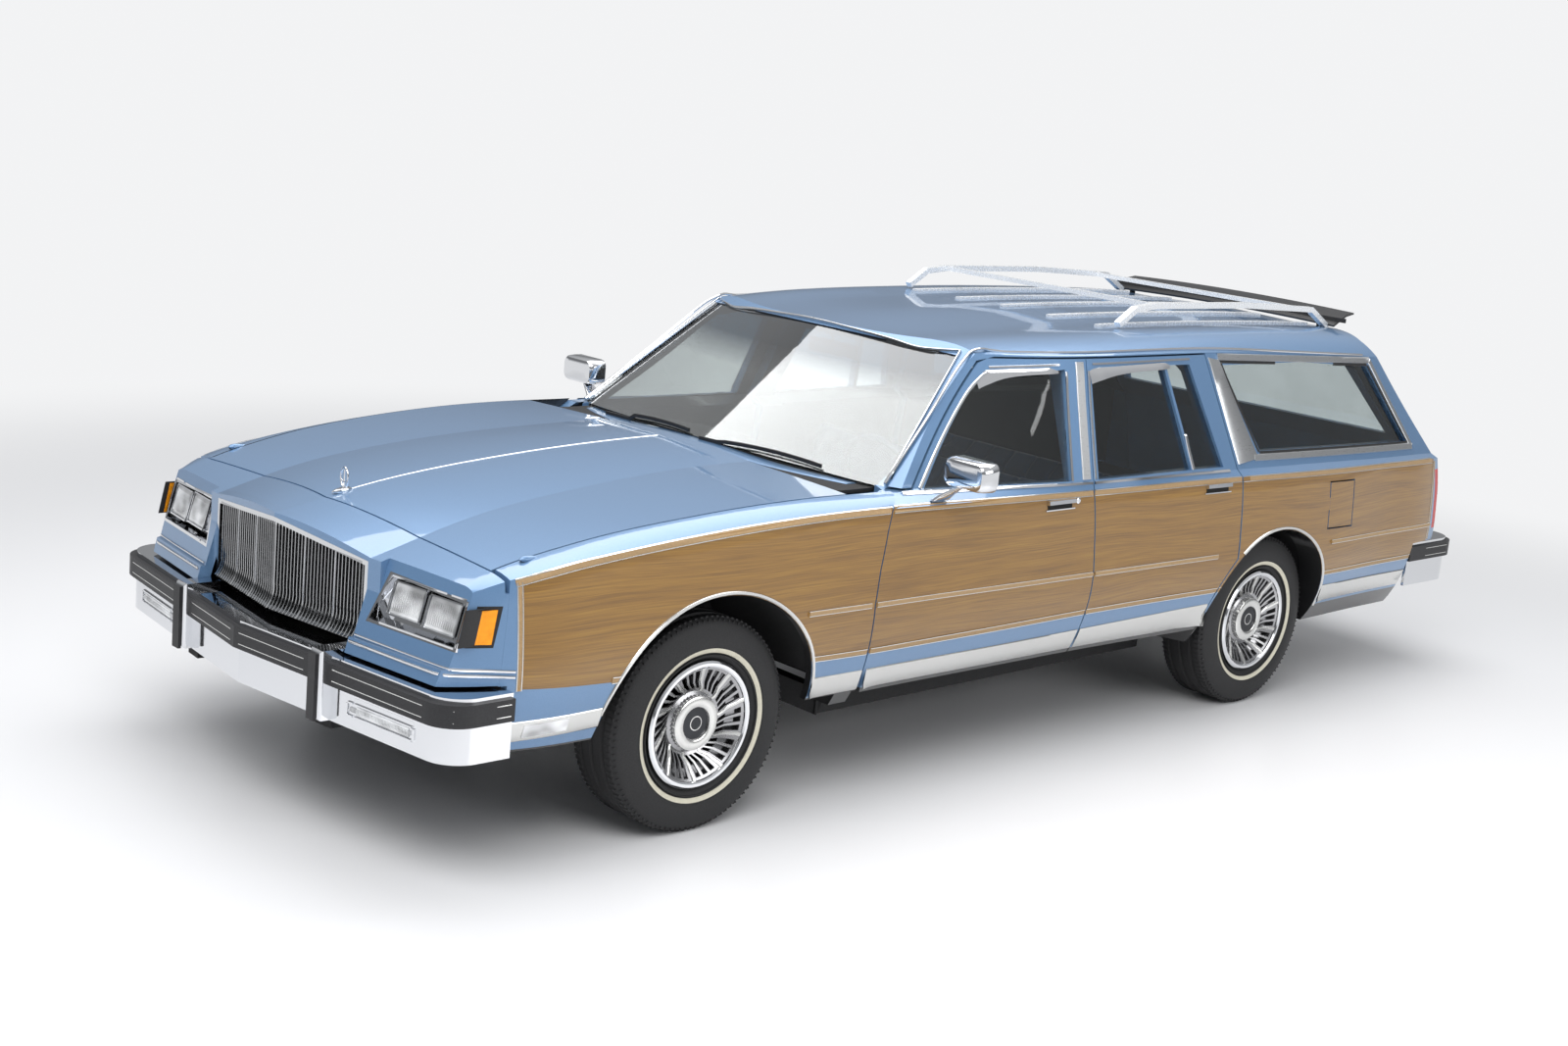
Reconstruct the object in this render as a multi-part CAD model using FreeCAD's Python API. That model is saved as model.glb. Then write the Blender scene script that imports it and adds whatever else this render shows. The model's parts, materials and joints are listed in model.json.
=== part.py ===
import FreeCAD, Part
import math
import os

# Station wagon with wood-look sides, rear-wheel drive, separate frame.
# Millimetres. Origin on the ground under the middle of the car,
# +X to the car's left, -Y to its front, +Z up.

# overall sizes
body_length = 5601.0
body_width = 2014.0
roof_height = 1506.0
wheelbase = 2944.0
front_overhang = 1104.0
overrun = 60.0
touch_gap = 0.3
shut_gap = 6.0

# running gear
tyre_radius = 348.0
tyre_width = 225.0
tyre_inner_radius = 190.5
rim_seat_radius = 190.0
rim_flange_radius = 203.0
rim_well_radius = 166.0
rim_half_width = 97.0
rim_sheet = 6.0
front_track = 1580.0
rear_track = 1628.0
front_arch_radius = 432.0
rear_arch_radius = 396.0
hub_radius = 58.0
spindle_radius = 20.0
hub_clearance = 0.05
kingpin_inset = 100.0
kingpin_radius = 22.0
steering_lock_degrees = 32.0

# walls
door_wall = 110.0
pillar_wall = 38.0
fender_wall = 28.0
hood_wall = 26.0
inner_post_depth = 40.0
glass_inset = 14.0
glass_thickness = 5.0
floor_sheet = 12.0

# heights and lengths along the side
body_low = 352.0
door_low = 360.0
b_line = 68.0
b_line_top = 113.0
c_line = 950.0
c_line_top = 825.0
a_line_low = -1009.0
a_line_knee = -1046.0
a_line_belt = -979.0
header_seam = -2460.0
door_rake_share = 0.32

# shares of the sizes they go with
bar_depth_share = 0.6
bar_knee_share = 1.5
bar_bow_share = 0.12
bar_bow_height_share = 0.45
tail_window_top_share = 0.6
toe_board_share = 1.6
tunnel_front_share = 1.4
firewall_foot_share = 1.45
crossmember_share = 0.8
bracket_width_share = 0.7
bracket_height_share = 1.4
arm_spread_share = 1.4
arm_leg_share = 0.8
seat_inner_share = 0.55
seat_outer_share = 0.45
well_inner_share = 0.4
well_outer_share = 0.3
strip_rise_share = 0.6
spoke_root_share = 0.8
slat_zone_share = 0.2
rail_sheet_share = 1.6
crossbar_share = 1.3
deflector_foot_share = 0.8
mirror_round_share = 0.3
mirror_foot_share = 0.6

# frame, exhaust and tank
frame_front_run = 420.0
frame_bend_run = 150.0
frame_side_taper = 34.0
frame_kick_run = 40.0
frame_arch_run = 110.0
crossmember_half = 95.0
crossmember_height = 110.0
front_crossmember_set = 60.0
mount_half = 50.0
spring_crossmember_set = 330.0
spring_crossmember_width = 90.0
rear_crossmember_set = 90.0
rear_crossmember_width = 80.0
exhaust_radius = 26.0
exhaust_places = ((-225.0, -1330.0, 519.7), (-225.0, -1330.0, 260.0), (-235.0, -1000.0, 186.0),
                  (-235.0, 880.0, 186.0), (-330.0, 1160.0, 240.0), (-340.0, 1330.0, 240.0),
                  (-560.0, 1900.0, 330.0), (-600.0, 2700.0, 330.0))
muffler_radius = 72.0
muffler_length = 560.0
muffler_place = (-235.0, 100.0, 210.0)
tank_half = 420.0
tank_front = 1800.0
tank_rear = 2360.0
tank_low = 340.0
tail_region_low = 280.0
tail_region_high = 1600.0
fuel_door_middle = (1600.0, 800.0)
deflector_foot_start = 72.0
deflector_foot_end = 108.0

half_length = body_length / 2
half_width = body_width / 2
front_axle = -half_length + front_overhang
rear_axle_place = front_axle + wheelbase

V = FreeCAD.Vector
origin = V(0, 0, 0)
along_x = V(1, 0, 0)
along_y = V(0, 1, 0)
along_z = V(0, 0, 1)


# general helpers

def mirrored(shape):
    return shape.mirror(origin, along_x)


def both_sides(shape):
    return shape, mirrored(shape)


def fused(shapes):
    whole = shapes[0]
    for shape in shapes[1:]:
        whole = whole.fuse(shape)
    return whole


def block(x_low, x_high, y_low, y_high, z_low, z_high):
    return Part.makeBox(x_high - x_low, y_high - y_low, z_high - z_low, V(x_low, y_low, z_low))


def spline(points):
    curve = Part.BSplineCurve()
    curve.interpolate(points)
    return curve.toShape()


def side_prism(outline, x_low, x_high, rake_share=0):
    # outline of (y, z) given at x = half_width, carried along x with a rake
    base = Part.makePolygon([V(x_low, y + rake_share * (x_low - half_width), z)
                             for y, z in outline + outline[:1]])
    depth = x_high - x_low
    return Part.Face(base).extrude(V(depth, rake_share * depth, 0))


def front_prism(outline, y_low, y_high):
    base = Part.makePolygon([V(x, y_low, z) for x, z in outline + outline[:1]])
    return Part.Face(base).extrude(V(0, y_high - y_low, 0))


def plan_prism(outline, z_low, z_high):
    base = Part.makePolygon([V(x, y, z_low) for x, y in outline + outline[:1]])
    return Part.Face(base).extrude(V(0, 0, z_high - z_low))


def cylinder_x(radius, x_low, x_high, y, z):
    return Part.makeCylinder(radius, x_high - x_low, V(x_low, y, z), along_x)


def beam(start, end, width, height):
    # straight box section between two points, width level, height across
    run = end - start
    level = run.cross(along_z)
    level.normalize()
    across = level.cross(run)
    across.normalize()
    corners = []
    for side_share, up_share in ((-0.5, -0.5), (0.5, -0.5), (0.5, 0.5), (-0.5, 0.5)):
        corners.append(start + level * (width * side_share) + across * (height * up_share))
    return Part.Face(Part.makePolygon(corners + corners[:1])).extrude(run)


def sheet_outline(points, thickness):
    # closed outline of a bent sheet whose lower face runs through the points
    normals = []
    for (y_a, z_a), (y_b, z_b) in zip(points, points[1:]):
        length = math.hypot(y_b - y_a, z_b - z_a)
        normals.append((-(z_b - z_a) / length, (y_b - y_a) / length))
    offset = []
    for index, (y, z) in enumerate(points):
        before = normals[max(index - 1, 0)]
        after = normals[min(index, len(normals) - 1)]
        reach = thickness / (1 + before[0] * after[0] + before[1] * after[1])
        offset.append((y + (before[0] + after[0]) * reach, z + (before[1] + after[1]) * reach))
    return points + offset[::-1]


# body surface

# (height between sill and belt, width) as shares, up the lower side
flank_shares = ((0, 0.887), (0.144, 0.9425), (0.263, 0.971), (0.527, 1.0),
                (0.677, 0.995), (0.848, 0.986), (1, 0.972))

# front sheet metal, one row a station:
# y, width, belt, crest x, crest z, shoulder x, shoulder z, middle z
front_station_shares = (
    (-0.4820, 0.780, 0.5350, 0.750, 0.5400, 0.445, 0.5615, 0.6000),
    (-0.4624, 0.850, 0.5560, 0.813, 0.5640, 0.445, 0.5805, 0.6120),
    (-0.4388, 0.902, 0.5876, 0.796, 0.5963, 0.445, 0.6060, 0.6321),
    (-0.4146, 0.934, 0.6070, 0.809, 0.6189, 0.440, 0.6290, 0.6494),
    (-0.3828, 0.945, 0.6235, 0.824, 0.6414, 0.430, 0.6505, 0.6660),
    (-0.3392, 0.955, 0.6375, 0.839, 0.6620, 0.420, 0.6700, 0.6826),
    (-0.2857, 0.962, 0.6487, 0.849, 0.6780, 0.400, 0.6855, 0.6972),
    (-0.2039, 0.961, 0.6580, 0.854, 0.6853, 0.390, 0.6950, 0.7078),
    (-0.1500, 0.957, 0.6540, 0.858, 0.6853, 0.390, 0.6970, 0.7105))

# cabin and load space, one row a station:
# y, width, belt z, glass base x, glass base z, drip rail x, drip rail z, roof middle z
cabin_station_shares = (
    (-0.2100, 0.961, 0.6580, 0.8480, 0.6870, 0.5700, 0.9500, 0.9640),
    (-0.1600, 0.958, 0.6560, 0.8500, 0.6845, 0.6020, 0.9555, 0.9690),
    (-0.0715, 0.956, 0.6510, 0.8870, 0.6745, 0.6750, 0.9580, 0.9745),
    (-0.0357, 0.955, 0.6490, 0.9040, 0.6710, 0.7300, 0.9570, 0.9815),
    (0.0134, 0.955, 0.6465, 0.9235, 0.6680, 0.7750, 0.9555, 0.9890),
    (0.0890, 0.966, 0.6465, 0.9290, 0.6670, 0.7880, 0.9560, 0.9960),
    (0.1700, 0.983, 0.6460, 0.9320, 0.6630, 0.7900, 0.9530, 1.0),
    (0.2230, 0.993, 0.6440, 0.9330, 0.6600, 0.7880, 0.9480, 1.0),
    (0.3200, 0.986, 0.6400, 0.9260, 0.6530, 0.7840, 0.9330, 0.9960),
    (0.3750, 0.972, 0.6370, 0.9170, 0.6480, 0.7750, 0.9210, 0.9880),
    (0.4580, 0.938, 0.6320, 0.8950, 0.6400, 0.7560, 0.8960, 0.9660))


def flank_points(y, width, belt, inset):
    points = []
    for height_share, width_share in flank_shares:
        z = body_low - overrun * (1 - height_share) + height_share * (belt - body_low)
        points.append(V(width * width_share - inset, y, z))
    return points


def section_wire(right_half):
    # right_half is a list of point lists from the sill up to the middle line
    edges = []
    for points in right_half[:-1]:
        edges.append(spline(points) if len(points) > 2 else Part.makeLine(points[0], points[1]))
    top = right_half[-1]
    over = [V(-p.x, p.y, p.z) for p in top[:-1]][::-1]
    edges.append(spline(top + over))
    for points in right_half[:-1][::-1]:
        other = [V(-p.x, p.y, p.z) for p in points][::-1]
        edges.append(spline(other) if len(other) > 2 else Part.makeLine(other[0], other[1]))
    first = right_half[0][0]
    edges.append(Part.makeLine(V(-first.x, first.y, first.z), first))
    return Part.Wire(edges)


def front_hull(inset, drop):
    wires = []
    for row in front_station_shares:
        y = row[0] * body_length
        width = row[1] * half_width
        belt = row[2] * roof_height
        crest = V(row[3] * half_width - inset, y, row[4] * roof_height - drop)
        shoulder = V(row[5] * half_width, y, row[6] * roof_height - drop)
        middle = V(0, y, row[7] * roof_height - drop)
        flank = flank_points(y, width, belt - drop, inset)
        edge = flank[-1]
        bulge = V((edge.x + crest.x) / 2, y, (edge.z + crest.z) / 2 + (crest.z - edge.z) * crown_share)
        pan = (crest + shoulder) * 0.5 + V(0, 0, (shoulder.z - crest.z) * pan_share)
        ridge = shoulder + (middle - shoulder) * ridge_share + V(0, 0,
                                                                 (middle.z - shoulder.z) * crown_share)
        wires.append(section_wire([flank, [edge, bulge, crest], [crest, pan, shoulder],
                                   [shoulder, ridge, middle]]))
    return Part.makeLoft(wires, True)


crown_share = 0.22
pan_share = 0.08
ridge_share = 0.5
roof_edge_shares = ((0.90, 0.66), (0.62, 0.90))


def cabin_hull(low_inset, high_inset, stretch_share=0):
    # stretch_share carries the side planes on above the roof
    wires = []
    for row in cabin_station_shares:
        y = row[0] * body_length
        flank = flank_points(y, row[1] * half_width, row[2] * roof_height, low_inset)
        base = V(row[3] * half_width - high_inset, y, row[4] * roof_height)
        rail = V(row[5] * half_width - high_inset, y, row[6] * roof_height - high_inset)
        if stretch_share:
            rail = rail + V(0, 0, high_inset)
            rail = base + (rail - base) * (1 + stretch_share)
            wires.append(section_wire([flank, [flank[-1], base], [base, rail],
                                       [rail, V(0, y, rail.z + overrun)]]))
            continue
        rise = row[7] * roof_height - high_inset - rail.z
        roof = [rail]
        for width_share, rise_share in roof_edge_shares:
            roof.append(V(rail.x * width_share, y, rail.z + rise * rise_share))
        roof.append(V(0, y, rail.z + rise))
        wires.append(section_wire([flank, [flank[-1], base], [base, rail], roof]))
    return Part.makeLoft(wires, True)


# side outlines, as (y, z)
belt_height = 1006.0
frame_top = 1429.0
frame_base_front = -815.0
frame_base_height = 1026.0
frame_top_front = -373.0
frame_top_front_height = 1413.0
a_line_places = ((a_line_low, body_low), (-1035.0, 441.0), (-1044.0, 600.0),
                 (a_line_knee, 681.0), (-1031.0, 791.0), (-1002.0, 920.0),
                 (a_line_belt, 992.0), (-930.0, 1022.0))
door_arch_radius = 424.0
door_arch_join = 650.0


def front_door_outline():
    front = list(a_line_places)
    front[0] = (a_line_low, door_low)
    return front + [(frame_base_front, frame_base_height), (frame_top_front, frame_top_front_height),
                    (frame_top_front + shut_gap * 7, frame_top), (c_line, frame_top), (c_line, door_low)]


def b_edge(gap):
    return [(b_line + gap, door_low), (b_line + gap, belt_height), (b_line_top + gap, frame_top)]


def c_line_points(gap):
    # the rear door's rear edge, from the sill round the wheel arch to the roof
    points = []
    radius = door_arch_radius - gap
    join_angle = math.asin((door_arch_join - tyre_radius) / radius)
    low_angle = math.asin((door_low - tyre_radius) / radius)
    steps = 8
    for step in range(steps + 1):
        angle = low_angle + (join_angle - low_angle) * step / steps
        points.append((rear_axle_place - radius * math.cos(angle),
                       tyre_radius + radius * math.sin(angle)))
    points.append((c_line + gap, belt_height - floor_sheet))
    points.append((c_line_top + gap, frame_top))
    return points


def rear_door_outline():
    return [(-half_width, door_low), (half_length, door_low), (half_length, frame_top),
            (-half_width, frame_top)]


front_window_places = ((-768.0, 1024.0), (-430.0, 1327.0), (-362.0, 1368.0), (1.0, 1393.0),
                       (-46.0, 1013.0))
rear_window_places = ((96.0, 1012.0), (132.0, 1365.0), (184.0, 1392.0), (562.0, 1396.0), (656.0, 1013.0))
vent_window_places = ((672.0, 1013.0), (577.0, 1396.0), (724.0, 1396.0), (862.0, 1012.0))
quarter_window_places = ((1120.0, 1056.0), (932.0, 1388.0), (1500.0, 1384.0), (2022.0, 1350.0),
                         (2284.0, 1030.0))
tail_places = ((2060.0, 1600.0), (2070.0, 1448.0), (2506.0, 947.0), (2528.0, 800.0),
               (2530.0, 600.0), (2500.0, 280.0))
roof_line_places = ((-640.0, 1423.0), (-373.0, 1421.0), (-300.0, 1435.0), (113.0, 1435.5),
                    (825.0, 1435.0),
                    (1400.0, 1420.0), (1994.0, 1386.0), (2300.0, 1366.0))


# hulls shared by the panels
os.makedirs("parts", exist_ok=True)
outer_front = front_hull(0, 0)
inner_front = front_hull(fender_wall, fender_wall)
outer_cabin = cabin_hull(0, 0)
inner_cabin = cabin_hull(door_wall, pillar_wall)
cabin_shell = outer_cabin.cut(inner_cabin)
stretch_share = 0.2
side_shell = outer_cabin.cut(cabin_hull(door_wall, pillar_wall, stretch_share))

# windshield surface: one arc carried straight up the slope
windshield_base = -1035.0
windshield_base_height = 1050.0
windshield_top = -500.0
windshield_top_height = 1440.0
windshield_half_base = 804.0
windshield_half_top = 638.0
windshield_bow = 148.0
windshield_sag = 30.0
windshield_glass = 6.0
windshield_lip = 5.0


def windshield_slab(half, below, above, out_from, out_to):
    # a curved slab along the windshield, between two offsets along its normal
    rise = V(0, windshield_top - windshield_base, windshield_top_height - windshield_base_height)
    length = rise.Length
    rise.normalize()
    normal = V(0, -rise.z, rise.y)
    scale = (half / windshield_half_base) ** 2
    start = V(0, windshield_base, windshield_base_height) - rise * below + normal * out_from
    side = V(half, windshield_bow * scale, -windshield_sag * scale)
    other = V(-half, windshield_bow * scale, -windshield_sag * scale)
    arc = spline([start + other, start, start + side])
    face = arc.extrude(rise * (length + below + above))
    return face.extrude(normal * (out_to - out_from))


def windshield_outline(margin):
    sill = windshield_base_height - windshield_sag * 2
    head = windshield_top_height + windshield_sag
    slope = (windshield_half_base - windshield_half_top) / (windshield_top_height - windshield_base_height)
    low = windshield_half_base + margin + slope * windshield_sag
    high = windshield_half_top + margin - slope * windshield_sag
    return [(-low, sill), (low, sill), (high, head), (-high, head)]


def make_windshield():
    slab = windshield_slab(half_width, 0, 0, 0, windshield_glass)
    return slab.common(front_prism(windshield_outline(0), -half_length, 0))


before_glass = windshield_slab(half_width + overrun, overrun * 5, overrun * 9,
                               windshield_glass + windshield_lip, half_width)
glass_hole = front_prism(windshield_outline(touch_gap), -half_length, 0).common(
    windshield_slab(half_width, touch_gap, touch_gap, -touch_gap, overrun))
glass_room = front_prism(windshield_outline(touch_gap), -half_length, 0).common(
    windshield_slab(half_width, touch_gap, touch_gap, -touch_gap, windshield_glass + touch_gap))

left_half = block(0, half_width + overrun, -half_length, half_length, 0, roof_height + overrun)


def tail_region():
    outline = list(tail_places) + [(half_length + overrun, tail_region_low),
                                   (half_length + overrun, tail_region_high)]
    return side_prism(outline, -half_width - overrun, half_width + overrun)


behind_tail = tail_region()


def above_roof_line():
    outline = list(roof_line_places)
    top = roof_height + overrun * 2
    return side_prism(outline + [(outline[-1][0], top), (outline[0][0], top)],
                      -half_width - overrun, half_width + overrun)


roof_zone = above_roof_line()
roof_room = roof_zone.translated(V(0, 0, -touch_gap))


# front end

hood_seam_shares = ((-0.4388, 0.798), (-0.4146, 0.809), (-0.3828, 0.824), (-0.3521, 0.834),
                    (-0.3200, 0.844),
                    (-0.2857, 0.849), (-0.2500, 0.853), (-0.2009, 0.853))
hood_front_middle = -2506.0
hood_front_side = -2460.0
hood_front_shoulder = 456.0
hood_rear_middle = -1128.0
hood_rear_side = -1124.0
header_low = 588.0
chin_top = 634.0
chin_reach = 15.0
header_face = 30.0
wing_face_top = -2536.0
wing_face_height = 831.0
wing_lean_share = 0.277
wing_sweep_share = 0.1287
fender_nose_top = -2440.0
fender_nose_low = -2482.0
fender_nose_low_height = 560.0
nose_cut = -2456.0
nose_cut_height = 586.0
front_low = 372.0


def hood_plan(margin):
    # hood outline seen from above, moved outwards by the margin
    left = []
    for y_share, x_share in hood_seam_shares:
        left.append((x_share * half_width + margin, y_share * body_length))
    left[0] = (left[0][0], hood_front_side - margin)
    left[-1] = (left[-1][0], hood_rear_side + margin)
    steps = 6
    rear = []
    corner = left[-1][0]
    for step in range(1, steps + 1):
        x = corner * (1 - step / steps)
        rear.append((x, hood_rear_middle + margin
                     + (hood_rear_side - hood_rear_middle) * (x / corner) ** 2))
    right_rear = [(-x, y) for x, y in rear[:-1]][::-1]
    right = [(-x, y) for x, y in left][::-1]
    front = [(-hood_front_shoulder, hood_front_side - margin), (0, hood_front_middle - margin),
             (hood_front_shoulder, hood_front_side - margin)]
    return plan_prism(left + rear + right_rear + right + front, 0, roof_height)


def make_hood():
    under = outer_front.translated(V(0, 0, -hood_wall))
    return outer_front.common(hood_plan(0)).cut(under)


def wing_zone(back_from, back_to, low, high, sweep_share=wing_sweep_share):
    # room between two faces parallel to the swept, leaning lamp face, left side
    def face_place(z, back):
        return wing_face_top - wing_lean_share * (wing_face_height - z) + back
    outline = [(face_place(low, back_from), low), (face_place(high, back_from), high),
               (face_place(high, back_to), high), (face_place(low, back_to), low)]
    return side_prism(outline, 0, half_width + overrun, sweep_share)


def nose_line_zone(back):
    # everything ahead of the line where header and fender meet
    slope = (fender_nose_low - fender_nose_top) / (fender_nose_low_height - belt_height)
    low = fender_nose_top + slope * (front_low - belt_height) - back
    outline = [(low, front_low), (fender_nose_top - back, belt_height),
               (fender_nose_top - back, roof_height),
               (-half_length - overrun, roof_height), (-half_length - overrun, front_low)]
    return side_prism(outline, -half_width - overrun, half_width + overrun)


grille_half = 438.0
grille_frame = 14.0
grille_low = 618.0
grille_top_middle = 892.0
grille_top_side = 852.0
grille_front_middle = -2680.0
grille_front_side = -2626.0
grille_foot_reach = 46.0
grille_depth = 46.0
grille_bar = 4.0
grille_divider = 9.0
grille_sections = 3
grille_bars_per_section = 8


def grille_outline(margin):
    low = grille_low - grille_frame - margin
    side = grille_half + margin
    return [(-side, low), (side, low), (side, grille_top_side + margin),
            (0, grille_top_middle + margin), (-side, grille_top_side + margin)]


bezel_inner_top = 512.0
bezel_inner_low = 470.0
bezel_outer_top = 846.0
bezel_outer_low = 850.0
bezel_top_inner_height = 838.0
bezel_top_outer_height = 826.0
bezel_low_height = 686.0
bezel_depth = 58.0
bezel_rim = 9.0
lamp_width = 142.0
lamp_height = 100.0
lamp_rim_gap = 8.0
lamp_step = 5.0
tray_height = 30.0


def bezel_outline(margin):
    return [(bezel_inner_low - margin, bezel_low_height - margin),
            (bezel_outer_low + margin, bezel_low_height - margin),
            (bezel_outer_top + margin, bezel_top_outer_height + margin),
            (bezel_inner_top - margin, bezel_top_inner_height + margin)]


def bezel_room(margin):
    room = front_prism(bezel_outline(margin), -half_length, header_seam)
    return room.common(wing_zone(-overrun, bezel_depth + margin, 0, roof_height))


marker_low = 698.0
marker_high = 815.0
marker_front = -2580.0
marker_rear = -2472.0
marker_set_back = 20.0
marker_depth = 22.0
marker_lean = 26.0


def marker_outline(margin):
    return [(marker_front - marker_lean - margin, marker_low - margin),
            (marker_rear - marker_lean + margin, marker_low - margin),
            (marker_rear + margin, marker_high + margin), (marker_front - margin, marker_high + margin)]


def make_headlamp():
    shell = bezel_room(0).common(wing_zone(0, bezel_depth, 0, roof_height))
    hollow = front_prism(bezel_outline(-bezel_rim), -half_length, header_seam)
    shell = shell.cut(hollow.common(wing_zone(-overrun, bezel_depth - bezel_rim, 0, roof_height)))
    lamps = []
    outer = bezel_outer_top - bezel_rim - lamp_rim_gap
    for index in range(2):
        right = outer - index * (lamp_width + lamp_rim_gap)
        low = bezel_low_height + tray_height + index * lamp_step
        outline = [(right - lamp_width, low), (right, low), (right, low + lamp_height),
                   (right - lamp_width, low + lamp_height)]
        body = front_prism(outline, -half_length, header_seam)
        lamps.append(body.common(wing_zone(lamp_rim_gap, bezel_depth - bezel_rim, 0, roof_height)))
    return fused([shell] + lamps)


def make_marker():
    skin = outer_front.cut(outer_front.translated(V(-marker_depth, 0, 0)))
    zone = side_prism(marker_outline(0), half_width / 2, half_width)
    return skin.common(zone).common(wing_zone(marker_set_back, half_width, 0, roof_height))


def make_header():
    left = outer_front.common(wing_zone(0, half_width, header_low, roof_height))
    left = left.common(block(0, half_width, -half_length, 0, 0, roof_height))
    chin = outer_front.common(wing_zone(-chin_reach, header_face, header_low, chin_top))
    left = left.fuse(chin.common(block(grille_half, half_width, -half_length, 0, 0, roof_height)))
    snout = outer_front.common(block(0, bezel_inner_top - bezel_rim * 2, -half_length, 0, header_low,
                                     roof_height))
    sweep_share = (grille_front_side - grille_front_middle) / grille_half
    face = plan_prism([(0, grille_front_middle), (grille_half, grille_front_side),
                       (half_width, grille_front_side + (half_width - grille_half) * sweep_share),
                       (half_width, 0), (0, 0)], 0, roof_height)
    snout = snout.common(face)
    whole = left.fuse(snout)
    hollow = inner_front.common(wing_zone(header_face, half_width * 2, 0, roof_height))
    whole = whole.cut(hollow)
    whole = whole.cut(bezel_room(touch_gap))
    whole = whole.cut(make_marker_room())
    whole = fused([whole, mirrored(whole)])
    whole = whole.common(nose_line_zone(touch_gap))
    whole = whole.cut(hood_plan(shut_gap))
    seam = plan_prism([(-half_width, hood_front_side - shut_gap),
                       (-hood_front_shoulder, hood_front_side - shut_gap),
                       (0, hood_front_middle - shut_gap), (hood_front_shoulder,
                                                           hood_front_side - shut_gap),
                       (half_width, hood_front_side - shut_gap), (half_width, 0), (-half_width, 0)],
                      belt_height - hood_wall * 6, roof_height)
    whole = whole.cut(seam)
    opening = front_prism(grille_outline(touch_gap), -half_length, header_seam + overrun)
    under = block(-grille_half - touch_gap, grille_half + touch_gap, -half_length, header_seam + overrun,
                  0, grille_low)
    return whole.cut(opening).cut(under)


def make_marker_room():
    skin = outer_front.fuse(outer_front.translated(V(overrun, 0, 0))).cut(
        outer_front.translated(V(-marker_depth - touch_gap, 0, 0)))
    room = skin.common(side_prism(marker_outline(touch_gap), half_width / 2, half_width + overrun))
    return room.common(wing_zone(marker_set_back - touch_gap, half_width, 0, roof_height))


def make_grille():
    sweep_share = (grille_front_side - grille_front_middle) / grille_half
    fall_share = (grille_top_middle - grille_top_side) / grille_half
    pieces = []
    inner = grille_half - grille_frame
    outline = grille_outline(0)
    frame = front_prism(outline, -half_length, header_seam)
    inside = [(-inner, grille_low), (inner, grille_low), (inner, grille_top_side - grille_frame),
              (0, grille_top_middle - grille_frame), (-inner, grille_top_side - grille_frame)]
    frame = frame.cut(front_prism(inside, -half_length, header_seam))
    front = [(0, grille_front_middle), (grille_half, grille_front_side),
             (grille_half, grille_front_side + grille_depth), (0, grille_front_middle + grille_depth),
             (-grille_half, grille_front_side + grille_depth), (-grille_half, grille_front_side)]
    band = plan_prism(front, 0, roof_height)
    pieces.append(frame.common(band))
    span = inner / grille_sections
    pitch = span / (grille_bars_per_section + 1)
    for index in range(grille_sections * (grille_bars_per_section + 1)):
        x = index * pitch
        main = index % (grille_bars_per_section + 1) == 0
        width = grille_divider if main else grille_bar
        front_y = grille_front_middle + sweep_share * x
        top = grille_top_middle - grille_frame / 2 - fall_share * x
        sides = (1, -1) if index else (1,)
        for side in sides:
            pieces.append(grille_bar_solid(side * x, width, front_y, top))
    return pieces[0].multiFuse(pieces[1:])


def grille_bar_solid(x, width, front_y, top):
    # a flat bar whose foot sweeps forward
    depth = grille_depth * bar_depth_share
    inset = grille_frame / 2
    knee = grille_low + grille_foot_reach * bar_knee_share
    front = front_y + inset
    outer = [V(0, front, top), V(0, front, knee)]
    foot = V(0, front - grille_foot_reach / 2, grille_low - inset)
    middle_out = V(0, front - grille_foot_reach * bar_bow_share,
                   grille_low + grille_foot_reach * bar_bow_height_share)
    back = V(0, depth, 0)
    curve_out = spline([outer[1], middle_out, foot])
    curve_in = spline([foot + back, middle_out + back, outer[1] + back])
    wire = Part.Wire([Part.makeLine(outer[0], outer[1]), curve_out, Part.makeLine(foot, foot + back),
                      curve_in,
                      Part.makeLine(outer[1] + back, outer[0] + back), Part.makeLine(outer[0] + back,
                                                                                     outer[0])])
    bar = Part.Face(wire).extrude(V(width, 0, 0))
    bar.translate(V(x - width / 2, 0, 0))
    return bar


def arch_cut(y, radius, x_low):
    return cylinder_x(radius, x_low, half_width + overrun, y, tyre_radius)


def make_fender():
    shell = outer_front.cut(inner_front).common(left_half)
    shell = shell.cut(hood_plan(shut_gap)).cut(nose_line_zone(0))
    rear = [(y - shut_gap, z) for y, z in a_line_places]
    rear[0] = (rear[0][0], 0)
    rear = rear + [(a_rear_place, frame_base_height + hood_wall), (a_rear_place, roof_height),
                   (0, roof_height), (0, 0)]
    shell = shell.cut(side_prism(rear, 0, half_width + overrun))
    shell = shell.cut(arch_cut(front_axle, front_arch_radius, 0))
    hood_corner = hood_seam_shares[-1][1] * half_width + shut_gap
    shell = shell.cut(block(0, hood_corner, hood_rear_side - hood_wall, 0, 0, roof_height))
    low = front_low
    shell = shell.common(block(fender_inner_edge, half_width + overrun, -half_length, 0, low,
                               roof_height))
    lower_nose = side_prism([(-half_length, 0), (-half_length, nose_cut_height),
                             (nose_cut, nose_cut_height),
                             (nose_cut, 0)], 0, half_width + overrun)
    return shell.cut(lower_nose)


a_rear_place = -905.0
fender_inner_edge = 560.0


# doors and body sides

def surface_x(z):
    # skin of the doors at a height
    if z <= belt_height:
        share = (z - body_low) / (belt_height - body_low)
        for (low, low_width), (high, high_width) in zip(flank_shares, flank_shares[1:]):
            if share <= high:
                return door_half * (low_width + (high_width - low_width) * (share - low) / (high - low))
    climb = (z - belt_height) / (frame_top - belt_height)
    return door_glass_low + (door_glass_high - door_glass_low) * climb


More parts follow.
